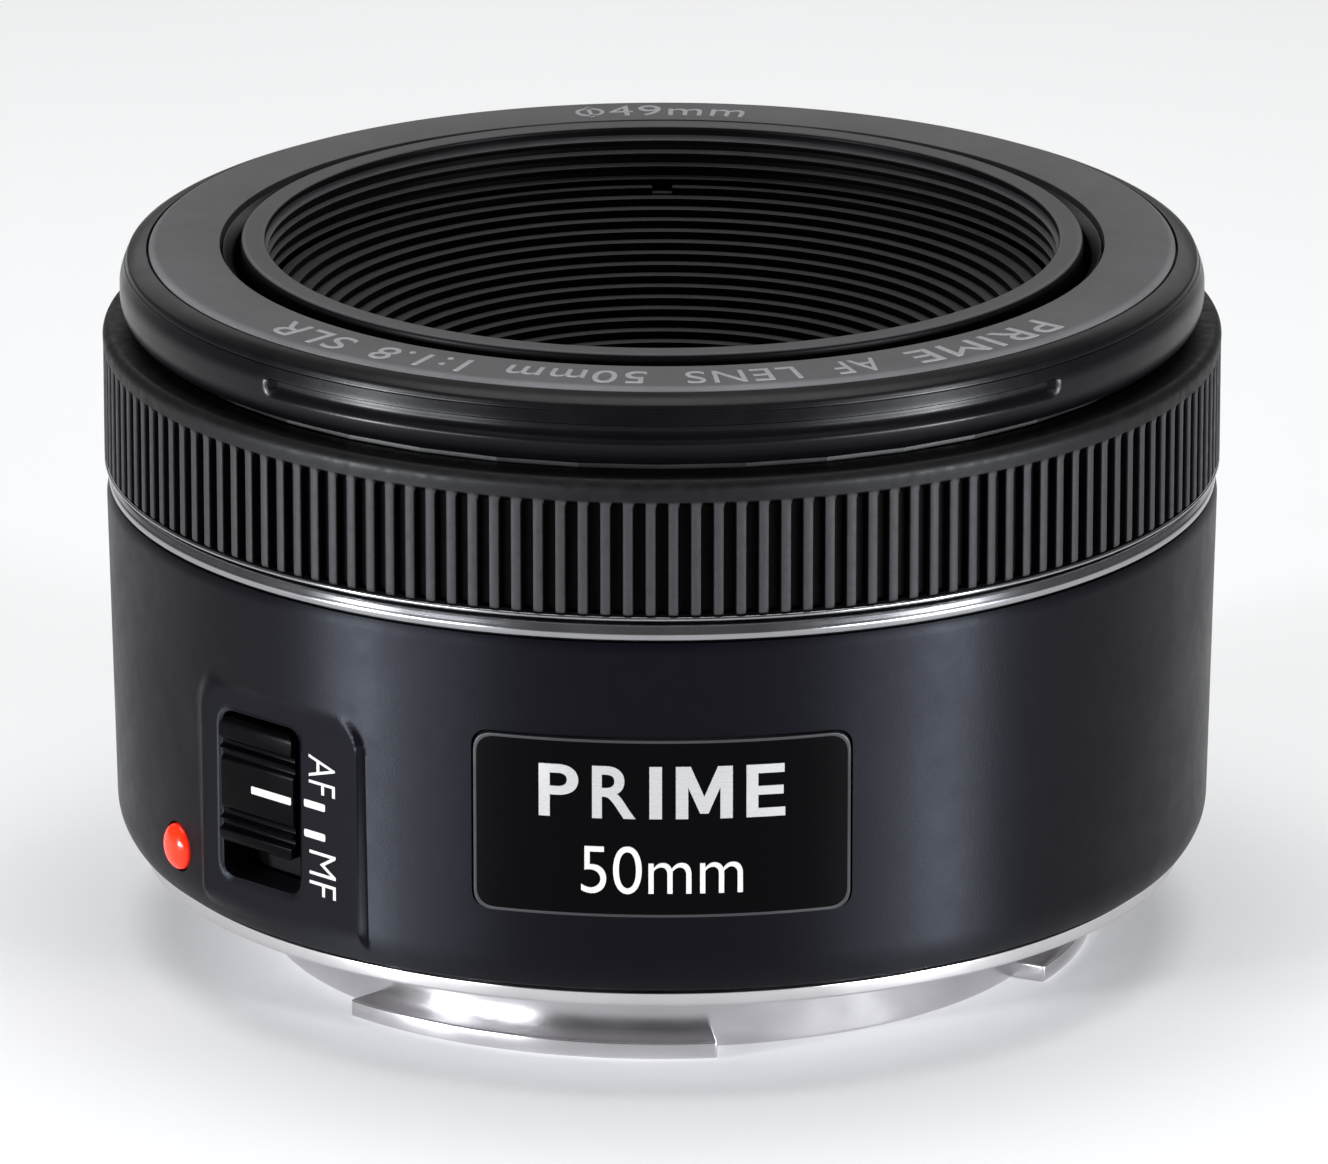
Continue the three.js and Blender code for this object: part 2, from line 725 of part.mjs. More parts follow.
function lensElement({ front, frontCurve, rear, rearCurve, radius }) {
  const steps = 3; // rings of facets on each face
  const radii = Array.from({ length: steps + 1 }, (_, i) => (radius * i) / steps);
  const frontFace = radii.map((r) => [r, front + sag(frontCurve, r)]);
  const rearFace = radii.map((r) => [r, rear + sag(rearCurve, r)]);
  return revolve([...rearFace, ...frontFace.reverse()]);
}

function optics() {
  elements.forEach((element, i) => add(`lens_${i + 1}`, lensElement(element), 'glass'));
  const bore = elements.map((element) => element.radius + gap);
  const frontCell = { outside: tubeInside - gap, bottom: 17.9, shoulder: 27.9, top: 31.5 };
  const collar = { inside: 15.5, outside: 16.6, seat: 29.6 };
  const seats = [26.9, 21.4];    // heights of the steps between the three front elements
  add('front_cell', revolve([
    [bore[2], frontCell.bottom],
    [frontCell.outside, frontCell.bottom],
    [frontCell.outside, frontCell.shoulder],
    [collar.outside, frontCell.shoulder],
    [collar.outside, frontCell.top],
    [collar.inside, frontCell.top],
    [collar.inside, collar.seat],
    [bore[0], collar.seat],
    [bore[0], seats[0]],
    [bore[1], seats[0]],
    [bore[1], seats[1]],
    [bore[2], seats[1]],
  ]), 'matte');
  const frontRetainer = { inside: 13.8, bottom: 29.9, top: 31.2 };
  add('front_retaining_ring', ring(
    frontRetainer.inside, collar.inside - gap, frontRetainer.bottom, frontRetainer.top), 'matte');

  const rearCell = { outside: 13.4, bottom: 1.2, seat: 3.9, top: 13.1 };
  add('rear_cell', revolve([
    [bore[5], rearCell.bottom],
    [rearCell.outside, rearCell.bottom],
    [rearCell.outside, rearCell.top],
    [bore[4], rearCell.top],
    [bore[4], rearCell.seat],
    [bore[5], rearCell.seat],
  ]), 'matte');
  const rearRetainer = { inside: 9.4, bottom: 1.3, top: 1.95 };
  add('rear_retaining_ring', ring(
    rearRetainer.inside, bore[5] - gap, rearRetainer.bottom, rearRetainer.top), 'matte');
}

// ---- Iris -----------------------------------------------------------------------------------

const pivotAngle = (i) => (360 * i) / bladeCount;

function blade(i) {
  const from = pivotAngle(i);
  const bottom = bladeLevel + 2 * bladeThickness * i;
  const top = bottom + bladeThickness;
  const leaf = sector(bladeInside, bladeOutside, from, from + bladeSpan, bottom, top);
  const ear = placed(rod(1.3, bottom, top), from + 1, bladePivotDistance - 0.3);
  const pivotHole = rod(pivotPinRadius + gap, bottom - 1, top + 1, shaftSegments);
  const hole = placed(pivotHole, from, bladePivotDistance);
  return cut(join(leaf, ear), hole);
}

function iris() {
  const pinionDistance = pitchRadius(irisGearTeeth) + pitchRadius(pinionTeeth);
  const outside = tubeInside - gap;
  const [inside, wall] = [10.6, 0.8];
  const body = revolve([
    [inside, irisFloor.bottom],
    [outside, irisFloor.bottom],
    [outside, irisTop],
    [outside - wall, irisTop],
    [outside - wall, irisFloor.top],
    [inside, irisFloor.top],
  ]);
  const pivots = Array.from({ length: bladeCount }, (_, i) => {
    const pin = rod(pivotPinRadius, irisFloor.bottom + 0.2, irisTop - gap, shaftSegments);
    return placed(pin, pivotAngle(i), bladePivotDistance);
  });
  const clearance = rod(shaftHole + 0.05, irisFloor.bottom - 0.4, irisFloor.top + 0.1);
  const hole = placed(clearance, irisPinionAngle, pinionDistance);
  add('aperture_housing', cut(join(body, ...pivots), hole), 'matte');

  const ringTop = irisRingHeight + irisRingThickness;
  const [before, after] = [48, 12]; // degrees of teeth on each side of the pinion
  const driven = join(
    ring(bladeInside + 0.2, rootRadius(irisGearTeeth), irisRingHeight, ringTop),
    gearSector(irisGearTeeth, bladeInside + 2, irisPinionAngle, irisPinionAngle - before,
      irisPinionAngle + after, irisRingHeight, ringTop),
  );
  add('aperture_ring', driven, 'brass');
  for (let i = 0; i < bladeCount; i += 1) add(`aperture_blade_${i + 1}`, blade(i), 'blade');

  const phase = meshedPhase(irisGearTeeth, irisPinionAngle, irisPinionAngle, pinionTeeth);
  const shaftEnd = irisMotor.bottom + 2;
  const shaft = rod(shaftRadius, shaftEnd, irisRingHeight + 0.1, shaftSegments);
  const pinion = join(gear(pinionTeeth, phase, irisRingHeight, ringTop), shaft);
  add('aperture_pinion', placed(pinion, irisPinionAngle, pinionDistance), 'brass');
  const can = rod(irisMotor.radius, irisMotor.bottom, irisFloor.bottom - gap, motorSegments);
  const motor = cut(can, rod(shaftHole, shaftEnd - gap, irisFloor.top));
  add('aperture_motor', placed(motor, irisPinionAngle, pinionDistance), 'screw');
}

// ---- Focus mechanism ----------------------------------------------------------------------------

function fixedBarrel() {
  const outside = focusInside - 0.4;
  const upperWall = 1.3;
  const top = focusTop + 0.2;
  const body = revolve([
    [guideInside, guideBottom],
    [guideOutside, guideBottom],
    [guideOutside, webHeight],
    [outside, webHeight],
    [outside, top],
    [outside - upperWall, top],
    [outside - upperWall, webHeight + webThickness],
    [guideInside, webHeight + webThickness],
  ], outerSegments);
  const posts = postAngles.map((angle) => placed(
    rod(postRadius, postBottom, webHeight + 0.5), angle, postDistance));
  const screwHoles = postAngles.map((angle) => placed(
    rod(screwHole.radius, postBottom - 1, screwHole.end), angle, postDistance));
  const slotHalf = pinRadius + gap;
  const slotEnds = [pinHeight - slotHalf, pinHeight + focusTravel + slotHalf];
  const guideSlot = roundedRectangle(-slotHalf, slotHalf, ...slotEnds, slotHalf * 0.6);
  const slots = pinAngles.map((angle) => sidePrism(guideSlot, angle, tubeInside, camInside + 0.1));
  const sensorOutline = (grow) => roundedRectangle(-sensor.halfWidth - grow, sensor.halfWidth + grow,
    sensor.bottom - grow, sensor.top + grow, 0.3);
  const window = sidePrism(sensorOutline(gap + 0.1), sensor.angle, sensor.inside - 2, beyond);
  add('fixed_barrel', cut(join(body, ...posts), ...screwHoles, ...slots, window), 'matte');
  add('focus_sensor', sidePrism(sensorOutline(0), sensor.angle, sensor.inside, outside + 0.1), 'screw');
}

function camRing() {
  const body = ring(camInside, camOutside, trainHeight - 0.1, webHeight - 0.4, outerSegments);
  const over = THREE.MathUtils.radToDeg((pinRadius + gap) / camInside) / camTurn;
  const climb = (start) => (along) => {
    const share = along * (1 + 2 * over) - over;
    return { angle: start - share * camTurn, height: pinHeight + share * focusTravel };
  };
  const slots = pinAngles.map((angle) => helicalCutter(
    camInside - 1, camOutside + 1, pinRadius + gap, climb(angle)));
  const margin = 9; // degrees of teeth beyond the travel
  const teeth = gearSector(camGearTeeth, camInside + 0.5, idlerAngle, idlerAngle - camTurn - margin,
    idlerAngle + margin, trainHeight, trainHeight + trainThickness);
  add('cam_ring', cut(join(body, teeth), ...slots), 'blade');
}

function gearTrain() {
  const top = trainHeight + trainThickness;
  const idlerPhase = meshedPhase(camGearTeeth, idlerAngle, idlerAngle, idlerTeeth);
  const axle = rod(0.6, trainHeight - 0.5, top + 0.9, shaftSegments);
  const idler = join(gear(idlerTeeth, idlerPhase, trainHeight, top), axle);
  add('focus_idler', placed(idler, idlerAngle, idlerDistance), 'white');
  const direction = directionBetween(around(idlerAngle, idlerDistance), around(motorAngle, motorDistance));
  const pinionPhase = meshedPhase(idlerTeeth, idlerPhase, direction, pinionTeeth);
  const [motorBottom, shaftTop] = [12.5, 14.6];
  const shaft = rod(shaftRadius, trainHeight - 0.4, shaftTop, shaftSegments);
  const pinion = join(gear(pinionTeeth, pinionPhase, trainHeight, top), shaft);
  add('focus_pinion', placed(pinion, motorAngle, motorDistance), 'brass');
  const can = rod(motorRadius, motorBottom, webHeight - 0.4, motorSegments);
  const motor = cut(can, rod(shaftHole, motorBottom - 0.5, shaftTop + 0.4));
  add('focus_motor', placed(motor, motorAngle, motorDistance), 'screw');
}

function lensBarrel() {
  const bottom = guideBottom + 0.2;
  const flange = { outside: filterOutside - 0.4, top: flangeOfTube + 1.6 };
  const body = revolve([
    [tubeInside, bottom],
    [tubeOutside, bottom],
    [tubeOutside, flangeOfTube],
    [flange.outside, flangeOfTube],
    [flange.outside, flange.top],
    [tubeInside, flange.top],
  ]);
  const holes = pinAngles.map((angle) => radial(
    rod(pinRadius + gap, tubeInside - 1, tubeOutside + 1), angle, pinHeight));
  add('lens_barrel', cut(body, ...holes), 'matte');
  pinAngles.forEach((angle, i) => {
    const pin = rod(pinRadius, tubeInside + gap, camOutside - gap);
    add(`guide_pin_${i + 1}`, radial(pin, angle, pinHeight), 'brass');
  });
}

// ---- The lens -------------------------------------------------------------------------------

bayonetMount();
rearCover();
contacts();
mainBoard();
outerBarrel();
namePlate();
mountIndexDot();
switchParts();
trimRing();
focusRing();
frontRing();
filterBarrel();
frontBaffle();
optics();
iris();
fixedBarrel();
camRing();
gearTrain();
lensBarrel();

export default lens;
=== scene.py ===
"""Looks of the prime camera lens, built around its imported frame.

Lengths are millimetres and turn into metres when a mesh is made. Angles round the lens are in
degrees, counted from the nameplate, which faces -Y, and positive towards +X.
"""

import json
import math
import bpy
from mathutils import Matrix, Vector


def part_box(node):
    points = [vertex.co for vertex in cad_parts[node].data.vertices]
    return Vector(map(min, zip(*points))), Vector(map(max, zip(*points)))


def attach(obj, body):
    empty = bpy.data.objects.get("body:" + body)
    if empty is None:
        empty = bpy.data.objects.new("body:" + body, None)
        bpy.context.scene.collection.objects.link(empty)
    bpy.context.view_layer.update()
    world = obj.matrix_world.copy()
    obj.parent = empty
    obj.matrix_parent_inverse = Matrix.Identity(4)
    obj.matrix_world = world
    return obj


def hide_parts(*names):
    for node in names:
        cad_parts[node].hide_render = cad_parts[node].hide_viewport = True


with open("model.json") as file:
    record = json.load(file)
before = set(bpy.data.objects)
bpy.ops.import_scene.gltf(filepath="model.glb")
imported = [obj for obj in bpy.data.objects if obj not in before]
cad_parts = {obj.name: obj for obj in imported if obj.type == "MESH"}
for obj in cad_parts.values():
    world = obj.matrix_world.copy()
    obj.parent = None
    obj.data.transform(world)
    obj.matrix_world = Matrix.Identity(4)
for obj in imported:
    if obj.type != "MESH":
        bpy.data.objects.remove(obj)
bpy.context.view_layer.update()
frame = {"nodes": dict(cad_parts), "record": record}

from types import SimpleNamespace

import bmesh
import bpy
from mathutils import Matrix, Vector

MM = 0.001

# ---- Sizes that the frame gives ----


def span(node):
    """Outer radius, bottom and top of a round CAD node, in millimetres."""
    low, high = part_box(node)
    return SimpleNamespace(radius=high.x / MM, bottom=low.z / MM, top=high.z / MM)


SHELL = span("outer_barrel")
TRIM = span("trim_ring")
FOCUS = span("focus_ring")
FRONT = span("front_ring")
FACE = span("front_face_ring")
FILTER = span("filter_barrel")
BAFFLE = span("front_baffle")
MOUNT = span("bayonet_mount")
PLATE = span("name_plate")

# ---- Sizes of the visible detail ----

SEAT = 5.4  # height of the flange's face that meets the camera
FLANGE_TOP = 6.3
MOUNT_BORE = 22.4
TUBE_RADIUS = 24.7
TAB_CENTRES = (-19.0, 87.6, 214.1)
TAB_WIDTH = 52.4  # of a locking tab, in degrees
TAB_RADIUS = 26.9
TAB_HEIGHT = 1.1
LOCK_HOLE = (70, 1.5)  # angle and radius
SCREW_ANGLES = (15, 105, 195, 285)
SCREW_DISTANCE = 29.2
SCREW_HEAD = (1.85, 1.05)  # radius and depth

CONTACT_ANGLE = 180
CONTACT_HALF_WIDTH = 36  # of the contact block, in degrees
CONTACT_SPACING = 7
CONTACT_DISTANCE = 20.0
CONTACTS = 7
BLOCK_SCREW_OFFSET = 30  # from the middle contact, in degrees
BLOCK_SCREW_DISTANCE = 19.4
BLOCK_SCREW_HEAD = (1.2, 0.8)
RIDGES = 6  # of the light baffle round the rear glass

SHELL_RADIUS = 34.45  # at its front edge
SHELL_REAR_RADIUS = 34.0
SHELL_INSIDE = 32.2

RIBS = 160
RIB_SHARE = 0.46  # of the pitch
RIB_COLUMNS = 10  # mesh columns in one pitch
RIB_DEPTH = 0.62
RIB_BOTTOM = FOCUS.bottom + 0.5
RIB_TOP = FOCUS.top - 1.3

FACE_INSIDE = 27.3
FACE_OUTSIDE = 31.55
FRONT_INSIDE = 26.5
HOOD_GROOVE = 45.2  # half length of each hood groove, in degrees
HOOD_GROOVE_DEPTH = 0.55

THREAD_PITCH = 0.85
THREAD_TURNS = 4
FILTER_INSIDE = 24.5
BAFFLE_STEPS = 16
BAFFLE_TOP = (23.55, 40.7)  # radius and height of the first ledge's edge
BAFFLE_BOTTOM = (12.6, 32.25)  # of the last one's
BAFFLE_NOTCH = (180, 1.55)  # angle, and half width in degrees

PLATE_SURFACE = 34.5  # radius of the nameplate's outside
PLATE_SEAT = 33.35  # radius of its recess
PLATE_CORNER = 1.2
PLATE_EDGE_WIDTH = 0.17
TITLE_WIDTH = 14.8
TITLE_HEIGHT = 3.3

PAD_ANGLE = -42.8  # switch pad
PAD_DISTANCE = 34.05
PAD_HALF_WIDTH = 6.5
PAD_BOTTOM = 8.2
PAD_TOP = 22.2
PAD_CORNER = 1.9
SLOT_CENTRE = -1.72  # across the pad
SLOT_HALF_WIDTH = 3.25
SLOT_BOTTOM = 10.15
SLOT_TOP = 20.75
SLOT_CORNER = 0.95
AF_MARK = 16.35
SWITCH_TRAVEL = 1.9

DOT_ANGLE = -60.6
DOT_HEIGHT = 10.25
DOT_RADIUS = 1.45

# ---- Camera, floor and light ----

CAMERA_ELEVATION = 17.71
CAMERA_DISTANCE = 800.0
CAMERA_FOCAL_LENGTH = 348.3
CAMERA_SENSOR_WIDTH = 36
AIM = (0.12, 0.0, 21.9)

WHITE = (1, 1, 1)
COOL = (0.93, 0.96, 1.0)
LIGHT_TARGET = (0, 0, 22)
SOFTBOXES = (
    # name, position, size, power in watts, colour
    ("top_softbox", (0, 60, 560), (520, 360), 2.35, WHITE),
    ("back_softbox", (0, 640, 330), (900, 320), 0.7, WHITE),
    ("left_softbox", (-500, -270, 55), (70, 90), 5.2, COOL),
    ("left_fill", (-400, -400, 60), (160, 90), 1.6, COOL),
    ("right_softbox", (480, -305, 55), (90, 90), 4.7, COOL),
    ("right_fill", (390, -420, 60), (160, 90), 1.6, COOL),
)
WORLD_STRENGTH = 0.15
FLOOR_HALF_WIDTH = 4000


def make_camera():
    elevation = math.radians(CAMERA_ELEVATION)
    camera = bpy.data.objects.new("camera", bpy.data.cameras.new("camera"))
    bpy.context.scene.collection.objects.link(camera)
    camera.data.lens = CAMERA_FOCAL_LENGTH
    camera.data.sensor_width = CAMERA_SENSOR_WIDTH
    camera.data.clip_end = 10
    direction = Vector((0, -math.cos(elevation), math.sin(elevation)))
    camera.location = (Vector(AIM) + CAMERA_DISTANCE * direction) * MM
    camera.rotation_euler = (math.pi / 2 - elevation, 0, 0)
    bpy.context.scene.camera = camera


def softbox(name, position, size, power, colour):
    """A rectangular light aimed at the middle of the lens."""
    light = bpy.data.lights.new(name, "AREA")
    light.shape = "RECTANGLE"
    light.size, light.size_y = size[0] * MM, size[1] * MM
    light.energy = power
    light.color = colour
    lamp = bpy.data.objects.new(name, light)
    bpy.context.scene.collection.objects.link(lamp)
    lamp.location = Vector(position) * MM
    aim = Vector(LIGHT_TARGET) - Vector(position)
    lamp.rotation_euler = aim.to_track_quat("-Z", "Y").to_euler()


def make_lights():
    for light in SOFTBOXES:
        softbox(*light)
    world = bpy.data.worlds.new("studio")
    world.use_nodes = True
    fill(world.node_tree.nodes["Background"], Color=(*WHITE, 1), Strength=WORLD_STRENGTH)
    bpy.context.scene.world = world
    bpy.context.scene.view_settings.view_transform = "Standard"


# ---- Mesh building ----


def around(angle, distance):
    """The point at an angle round the lens and a distance from its axis."""
    turn = math.radians(angle)
    return distance * math.sin(turn), -distance * math.cos(turn)


def mesh_object(name, vertices, faces):
    mesh = bpy.data.meshes.new(name)
    mesh.from_pydata([Vector(v) * MM for v in vertices], [], faces)
    mesh.validate()
    piece = bpy.data.objects.new(name, mesh)
    bpy.context.scene.collection.objects.link(piece)
    return piece


def face_outwards(piece):
    work = bmesh.new()
    work.from_mesh(piece.data)
    bmesh.ops.recalc_face_normals(work, faces=work.faces)
    if work.calc_volume(signed=True) < 0:
        bmesh.ops.reverse_faces(work, faces=work.faces)
    work.to_mesh(piece.data)
    work.free()


def shade(piece, sharp_above=32):
    """Smooth shading that stops at edges sharper than the angle."""
    piece.data.shade_smooth()
    piece.data.set_sharp_from_angle(angle=math.radians(sharp_above))


def rounded(corners, steps=5):
    """A closed outline through [x, y, setback] corners, each turned by a curve that starts and
    ends the setback away from the corner. A corner with no setback stays sharp."""
    outline = []
    for i, corner in enumerate(corners):
        point = Vector(corner[:2])
        setback = corner[2] if len(corner) > 2 else 0
        if setback == 0:
            outline.append(tuple(point))
            continue
        before = Vector(corners[i - 1][:2])
        after = Vector(corners[(i + 1) % len(corners)][:2])
        start = point + (before - point).normalized() * setback
        end = point + (after - point).normalized() * setback
        for step in range(steps + 1):
            t = step / steps
            outline.append(tuple(start * (1 - t) ** 2 + point * 2 * t * (1 - t) + end * t * t))
    return outline


def divided(outline, longest):
    """The same closed outline with no side longer than the given length."""
    result = []
    for i, point in enumerate(outline):
        start, end = Vector(point), Vector(outline[(i + 1) % len(outline)])
        count = max(1, math.ceil((end - start).length / longest))
        result += [tuple(start.lerp(end, step / count)) for step in range(count)]
    return result


def even_angles(count):
    return [360 * i / count for i in range(count)]


def turned(name, profile, angles, shape=None):
    """A closed [radius, height] profile turned about the optical axis, at the given angles or at
    that many even ones. shape(angle, radius, height) may give each point another radius."""
    if isinstance(angles, int):
        angles = even_angles(angles)
    vertices = []
    for angle in angles:
        for radius, height in profile:
            if shape:
                radius = shape(angle, radius, height)
            vertices.append((*around(angle, radius), height))
    rows, columns = len(profile), len(angles)
    faces = []
    for i in range(columns):
        for j in range(rows):
            a, b = i * rows, ((i + 1) % columns) * rows
            faces.append((a + j, b + j, b + (j + 1) % rows, a + (j + 1) % rows))
    piece = mesh_object(name, vertices, faces)
    face_outwards(piece)
    return piece


def turned_solid(name, profile, columns):
    """An open profile whose two ends lie on the axis, turned into a solid such as a lens."""
    inner = profile[1:-1]
    vertices = [(0, 0, profile[0][1]), (0, 0, profile[-1][1])]
    for angle in even_angles(columns):
        vertices += [(*around(angle, radius), height) for radius, height in inner]
    rows = len(inner)
    faces = []
    for i in range(columns):
        a, b = 2 + i * rows, 2 + ((i + 1) % columns) * rows
        faces.append((0, b, a))
        faces.append((1, a + rows - 1, b + rows - 1))
        faces += [(a + j, b + j, b + j + 1, a + j + 1) for j in range(rows - 1)]
    piece = mesh_object(name, vertices, faces)
    face_outwards(piece)
    return piece


def prism(name, outline, bottom, top):
    """A flat outline given thickness from bottom to top."""
    count = len(outline)
    vertices = [(x, y, bottom) for x, y in outline] + [(x, y, top) for x, y in outline]
    faces = [tuple(range(count - 1, -1, -1)), tuple(range(count, 2 * count))]
    faces += [(i, (i + 1) % count, count + (i + 1) % count, count + i) for i in range(count)]
    piece = mesh_object(name, vertices, faces)
    face_outwards(piece)
    return piece


def transform(piece, matrix):
    piece.data.transform(matrix)
    return piece


def side_matrix(angle):
    """Turns a shape drawn in [across, height, outwards] so that it stands on the side."""
    upright = Matrix(((1, 0, 0, 0), (0, 0, -1, 0), (0, 1, 0, 0), (0, 0, 0, 1)))
    return Matrix.Rotation(math.radians(angle), 4, "Z") @ upright


def side_prism(name, outline, angle, near, far):
    piece = transform(prism(name, outline, near, far), side_matrix(angle))
    face_outwards(piece)
    return piece


def moved(piece, x, y, z=0):
    return transform(piece, Matrix.Translation(Vector((x, y, z)) * MM))


def rectangle(left, right, bottom, top, corner):
    """A rectangle with round corners, as corners for rounded()."""
    corners = ((left, bottom), (right, bottom), (right, top), (left, top))
    return [(*point, corner) for point in corners]


def circle(radius, count=32):
    return [around(angle, radius) for angle in even_angles(count)]


def sector(inside, outside, start, end):
    """Part of a flat ring, with a point at about every degree."""
    count = math.ceil(end - start)
    angles = [start + (end - start) * i / count for i in range(count + 1)]
    return [around(a, outside) for a in angles] + [around(a, inside) for a in reversed(angles)]


def combine(piece, others, operation="DIFFERENCE"):
    """Cuts the other meshes out of a piece, joins them to it or keeps what they share, and
    removes them. Any other modifier of the piece is applied too."""
    for other in others:
        modifier = piece.modifiers.new("combine", "BOOLEAN")
        modifier.operation = operation
        modifier.solver = "EXACT"
        modifier.object = other
    bpy.context.view_layer.update()
    graph = bpy.context.evaluated_depsgraph_get()
    result = bpy.data.meshes.new_from_object(piece.evaluated_get(graph))
    piece.modifiers.clear()
    old = piece.data
    piece.data = result
    bpy.data.meshes.remove(old)
    for other in others:
        bpy.data.objects.remove(other)
    return piece


def bevelled(piece, width, angle=35):
    """Rounds the edges that turn by more than the angle."""
    modifier = piece.modifiers.new("bevel", "BEVEL")
    modifier.width = width * MM
    modifier.segments = 3
    modifier.limit_method = "ANGLE"
    modifier.angle_limit = math.radians(angle)
    return combine(piece, [])


def place(piece, look, body, slot, *nodes):
    """Gives a piece its material and its CAD body, and hides the CAD nodes that it replaces. The
    slot is not used.
    """
    piece.data.materials.clear()
    piece.data.materials.append(look)
    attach(piece, body)
    if nodes:
        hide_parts(*nodes)


# ---- Materials ----


def fill(node, **values):
    """Sets the inputs of a node. An underscore stands for a space in an input's name."""
    for socket, value in values.items():
        node.inputs[socket.replace("_", " ")].default_value = value


class Look:
    """A Principled material whose detail is built from nodes in the lens's own millimetres."""

    def __init__(self, name, **inputs):
        self.material = bpy.data.materials.new(name)
        self.material.use_nodes = True
        self.tree = self.material.node_tree
        self.shader = self.tree.nodes["Principled BSDF"]
        coordinates = self.tree.nodes.new("ShaderNodeTexCoord")
        to_mm = self.node("ShaderNodeVectorMath", operation="SCALE")
        fill(to_mm, Scale=1 / MM)
        self.link(coordinates.outputs["Object"], to_mm.inputs[0])
        self.place = to_mm.outputs[0]
        fill(self.shader, **inputs)

    def node(self, kind, **settings):
        node = self.tree.nodes.new(kind)
        for name, value in settings.items():
            setattr(node, name, value)
        return node

    def link(self, output, target):
        self.tree.links.new(output, target)

    def noise(self, size, detail=2.0, roughness=0.5, place=None):
        """Noise from 0 to 1 with features of about the given size."""
        noise = self.node("ShaderNodeTexNoise")
        fill(noise, Scale=1 / size, Detail=detail, Roughness=roughness)
        self.link(place or self.place, noise.inputs["Vector"])
        return noise.outputs["Fac"]

    def turned_place(self):
        """Coordinates of radius and height only, so that noise makes lines round the lens."""
        parts = self.node("ShaderNodeSeparateXYZ")
        self.link(self.place, parts.inputs[0])
        squares = [self.maths("MULTIPLY", parts.outputs[i], parts.outputs[i]) for i in (0, 1)]
        radius = self.maths("SQRT", self.maths("ADD", *squares))
        joined = self.node("ShaderNodeCombineXYZ")
        self.link(radius, joined.inputs[0])
        self.link(parts.outputs[2], joined.inputs[1])
        return joined.outputs[0]

    def maths(self, operation, *values):
        node = self.node("ShaderNodeMath", operation=operation)
        for socket, value in zip(node.inputs, values):
            if isinstance(value, (int, float)):
                socket.default_value = value
            else:
                self.link(value, socket)
        return node.outputs[0]

    def mean(self, first, second):
        return self.maths("MULTIPLY", self.maths("ADD", first, second), 0.5)

    def between(self, factor, low, high, start=0.3, end=0.7):
        """Maps a factor that runs from start to end onto the range from low to high."""
        node = self.node("ShaderNodeMapRange")
        self.link(factor, node.inputs["Value"])
        fill(node, From_Min=start, From_Max=end, To_Min=low, To_Max=high)
        return node.outputs["Result"]

    def drive(self, socket, output):
        self.link(output, self.shader.inputs[socket])

    def ramp(self, factor, low, high, start=0, end=1):
        """Maps a factor onto the colours from low to high."""
        node = self.node("ShaderNodeValToRGB")
        self.link(factor, node.inputs["Fac"])
        ends = zip(node.color_ramp.elements, (start, end), (low, high))
        for element, position, colour in ends:
            element.position = position
            element.color = (*colour, 1)
        return node.outputs["Color"]

    def colours(self, factor, low, high, start=0.3, end=0.7):
        self.drive("Base Color", self.ramp(factor, low, high, start, end))

    def facing_front(self, start=0.5, end=0.92):
        """Rises from 0 to 1 as the surface turns to the front. Start and end are on a scale where
        0 is an upright wall and 1 faces the front."""
        normal = self.node("ShaderNodeSeparateXYZ")
        self.link(self.node("ShaderNodeNewGeometry").outputs["Normal"], normal.inputs[0])
        return self.between(normal.outputs[2], 0, 1, start, end)

    def rough(self, factor, low, high):
        self.drive("Roughness", self.between(factor, low, high))

    def streaks(self, amount):
        """Stretches highlights along the lens's axis, as the fine lines of a lathe do."""
        tangent = self.node("ShaderNodeTangent", direction_type="RADIAL", axis="Z")
        self.drive("Tangent", tangent.outputs[0])
        fill(self.shader, Anisotropic=amount, Anisotropic_Rotation=0.25)

    def bump(self, *layers):
        """Layers of (height from 0 to 1, depth in millimetres), added up."""
        normal = None
        for height, depth in layers:
            node = self.node("ShaderNodeBump")
            fill(node, Strength=1, Distance=depth * MM)
            self.link(height, node.inputs["Height"])
            if normal:
                self.link(normal, node.inputs["Normal"])
            normal = node.outputs["Normal"]
        self.drive("Normal", normal)


def scaled(colour, factor):
    return tuple(channel * factor for channel in colour)


def moulded(name, colour, roughness, specular=0.5, grain=0.12, depth=0.006, spread=0.06,
            streak=0.0, ledge=None, tint=WHITE, shaded_underside=False):
    """Moulded plastic with a fine grain, faint clouds and worn patches. Faces turned to the front
    may have a lighter ledge colour of their own: painted light, as the lamps above light them."""
    look = Look(name, Specular_IOR_Level=specular, Specular_Tint=(*tint, 1))
    if streak:
        look.streaks(streak)
    # Painted shade: faces turned away from the front reflect less, standing in for the shade in the
    # gap under a ring.
    if shaded_underside:
        upper = look.facing_front(-0.45, -0.05)
        look.drive("Specular IOR Level", look.between(upper, 0.15 * specular, specular, 0, 1))
    cloud = look.noise(7.0, detail=3)
    wear = look.noise(1.6, detail=4, roughness=0.6)
    # Painted light: faces turned to the front, which look up to the lamps, take the lighter ledge
    # colour, varied a little by the wear noise.
    if ledge:
        painted_top_light = look.maths("MULTIPLY", look.facing_front(), look.between(wear, 0.85, 1.0))
        look.colours(painted_top_light, colour, ledge, 0, 1)
    else:
        look.colours(cloud, scaled(colour, 0.88), scaled(colour, 1.14))
    look.rough(look.mean(cloud, wear), roughness - spread, roughness + spread)
    look.bump((look.noise(grain), depth), (look.noise(grain * 6), depth * 0.8))
    return look.material


def machined(name, colour, roughness, line=0.05):
    """Turned metal: fine lines round the lens, with clouded roughness."""
    look = Look(name, Metallic=1.0)
    look.streaks(0.6)
    lines = look.noise(line, detail=3, place=look.turned_place())
    cloud = look.noise(4.0, detail=4)
    look.colours(cloud, scaled(colour, 0.9), colour)
    look.rough(look.mean(lines, cloud), roughness * 0.7, roughness * 1.3)
    look.bump((lines, 0.0012))
    return look.material


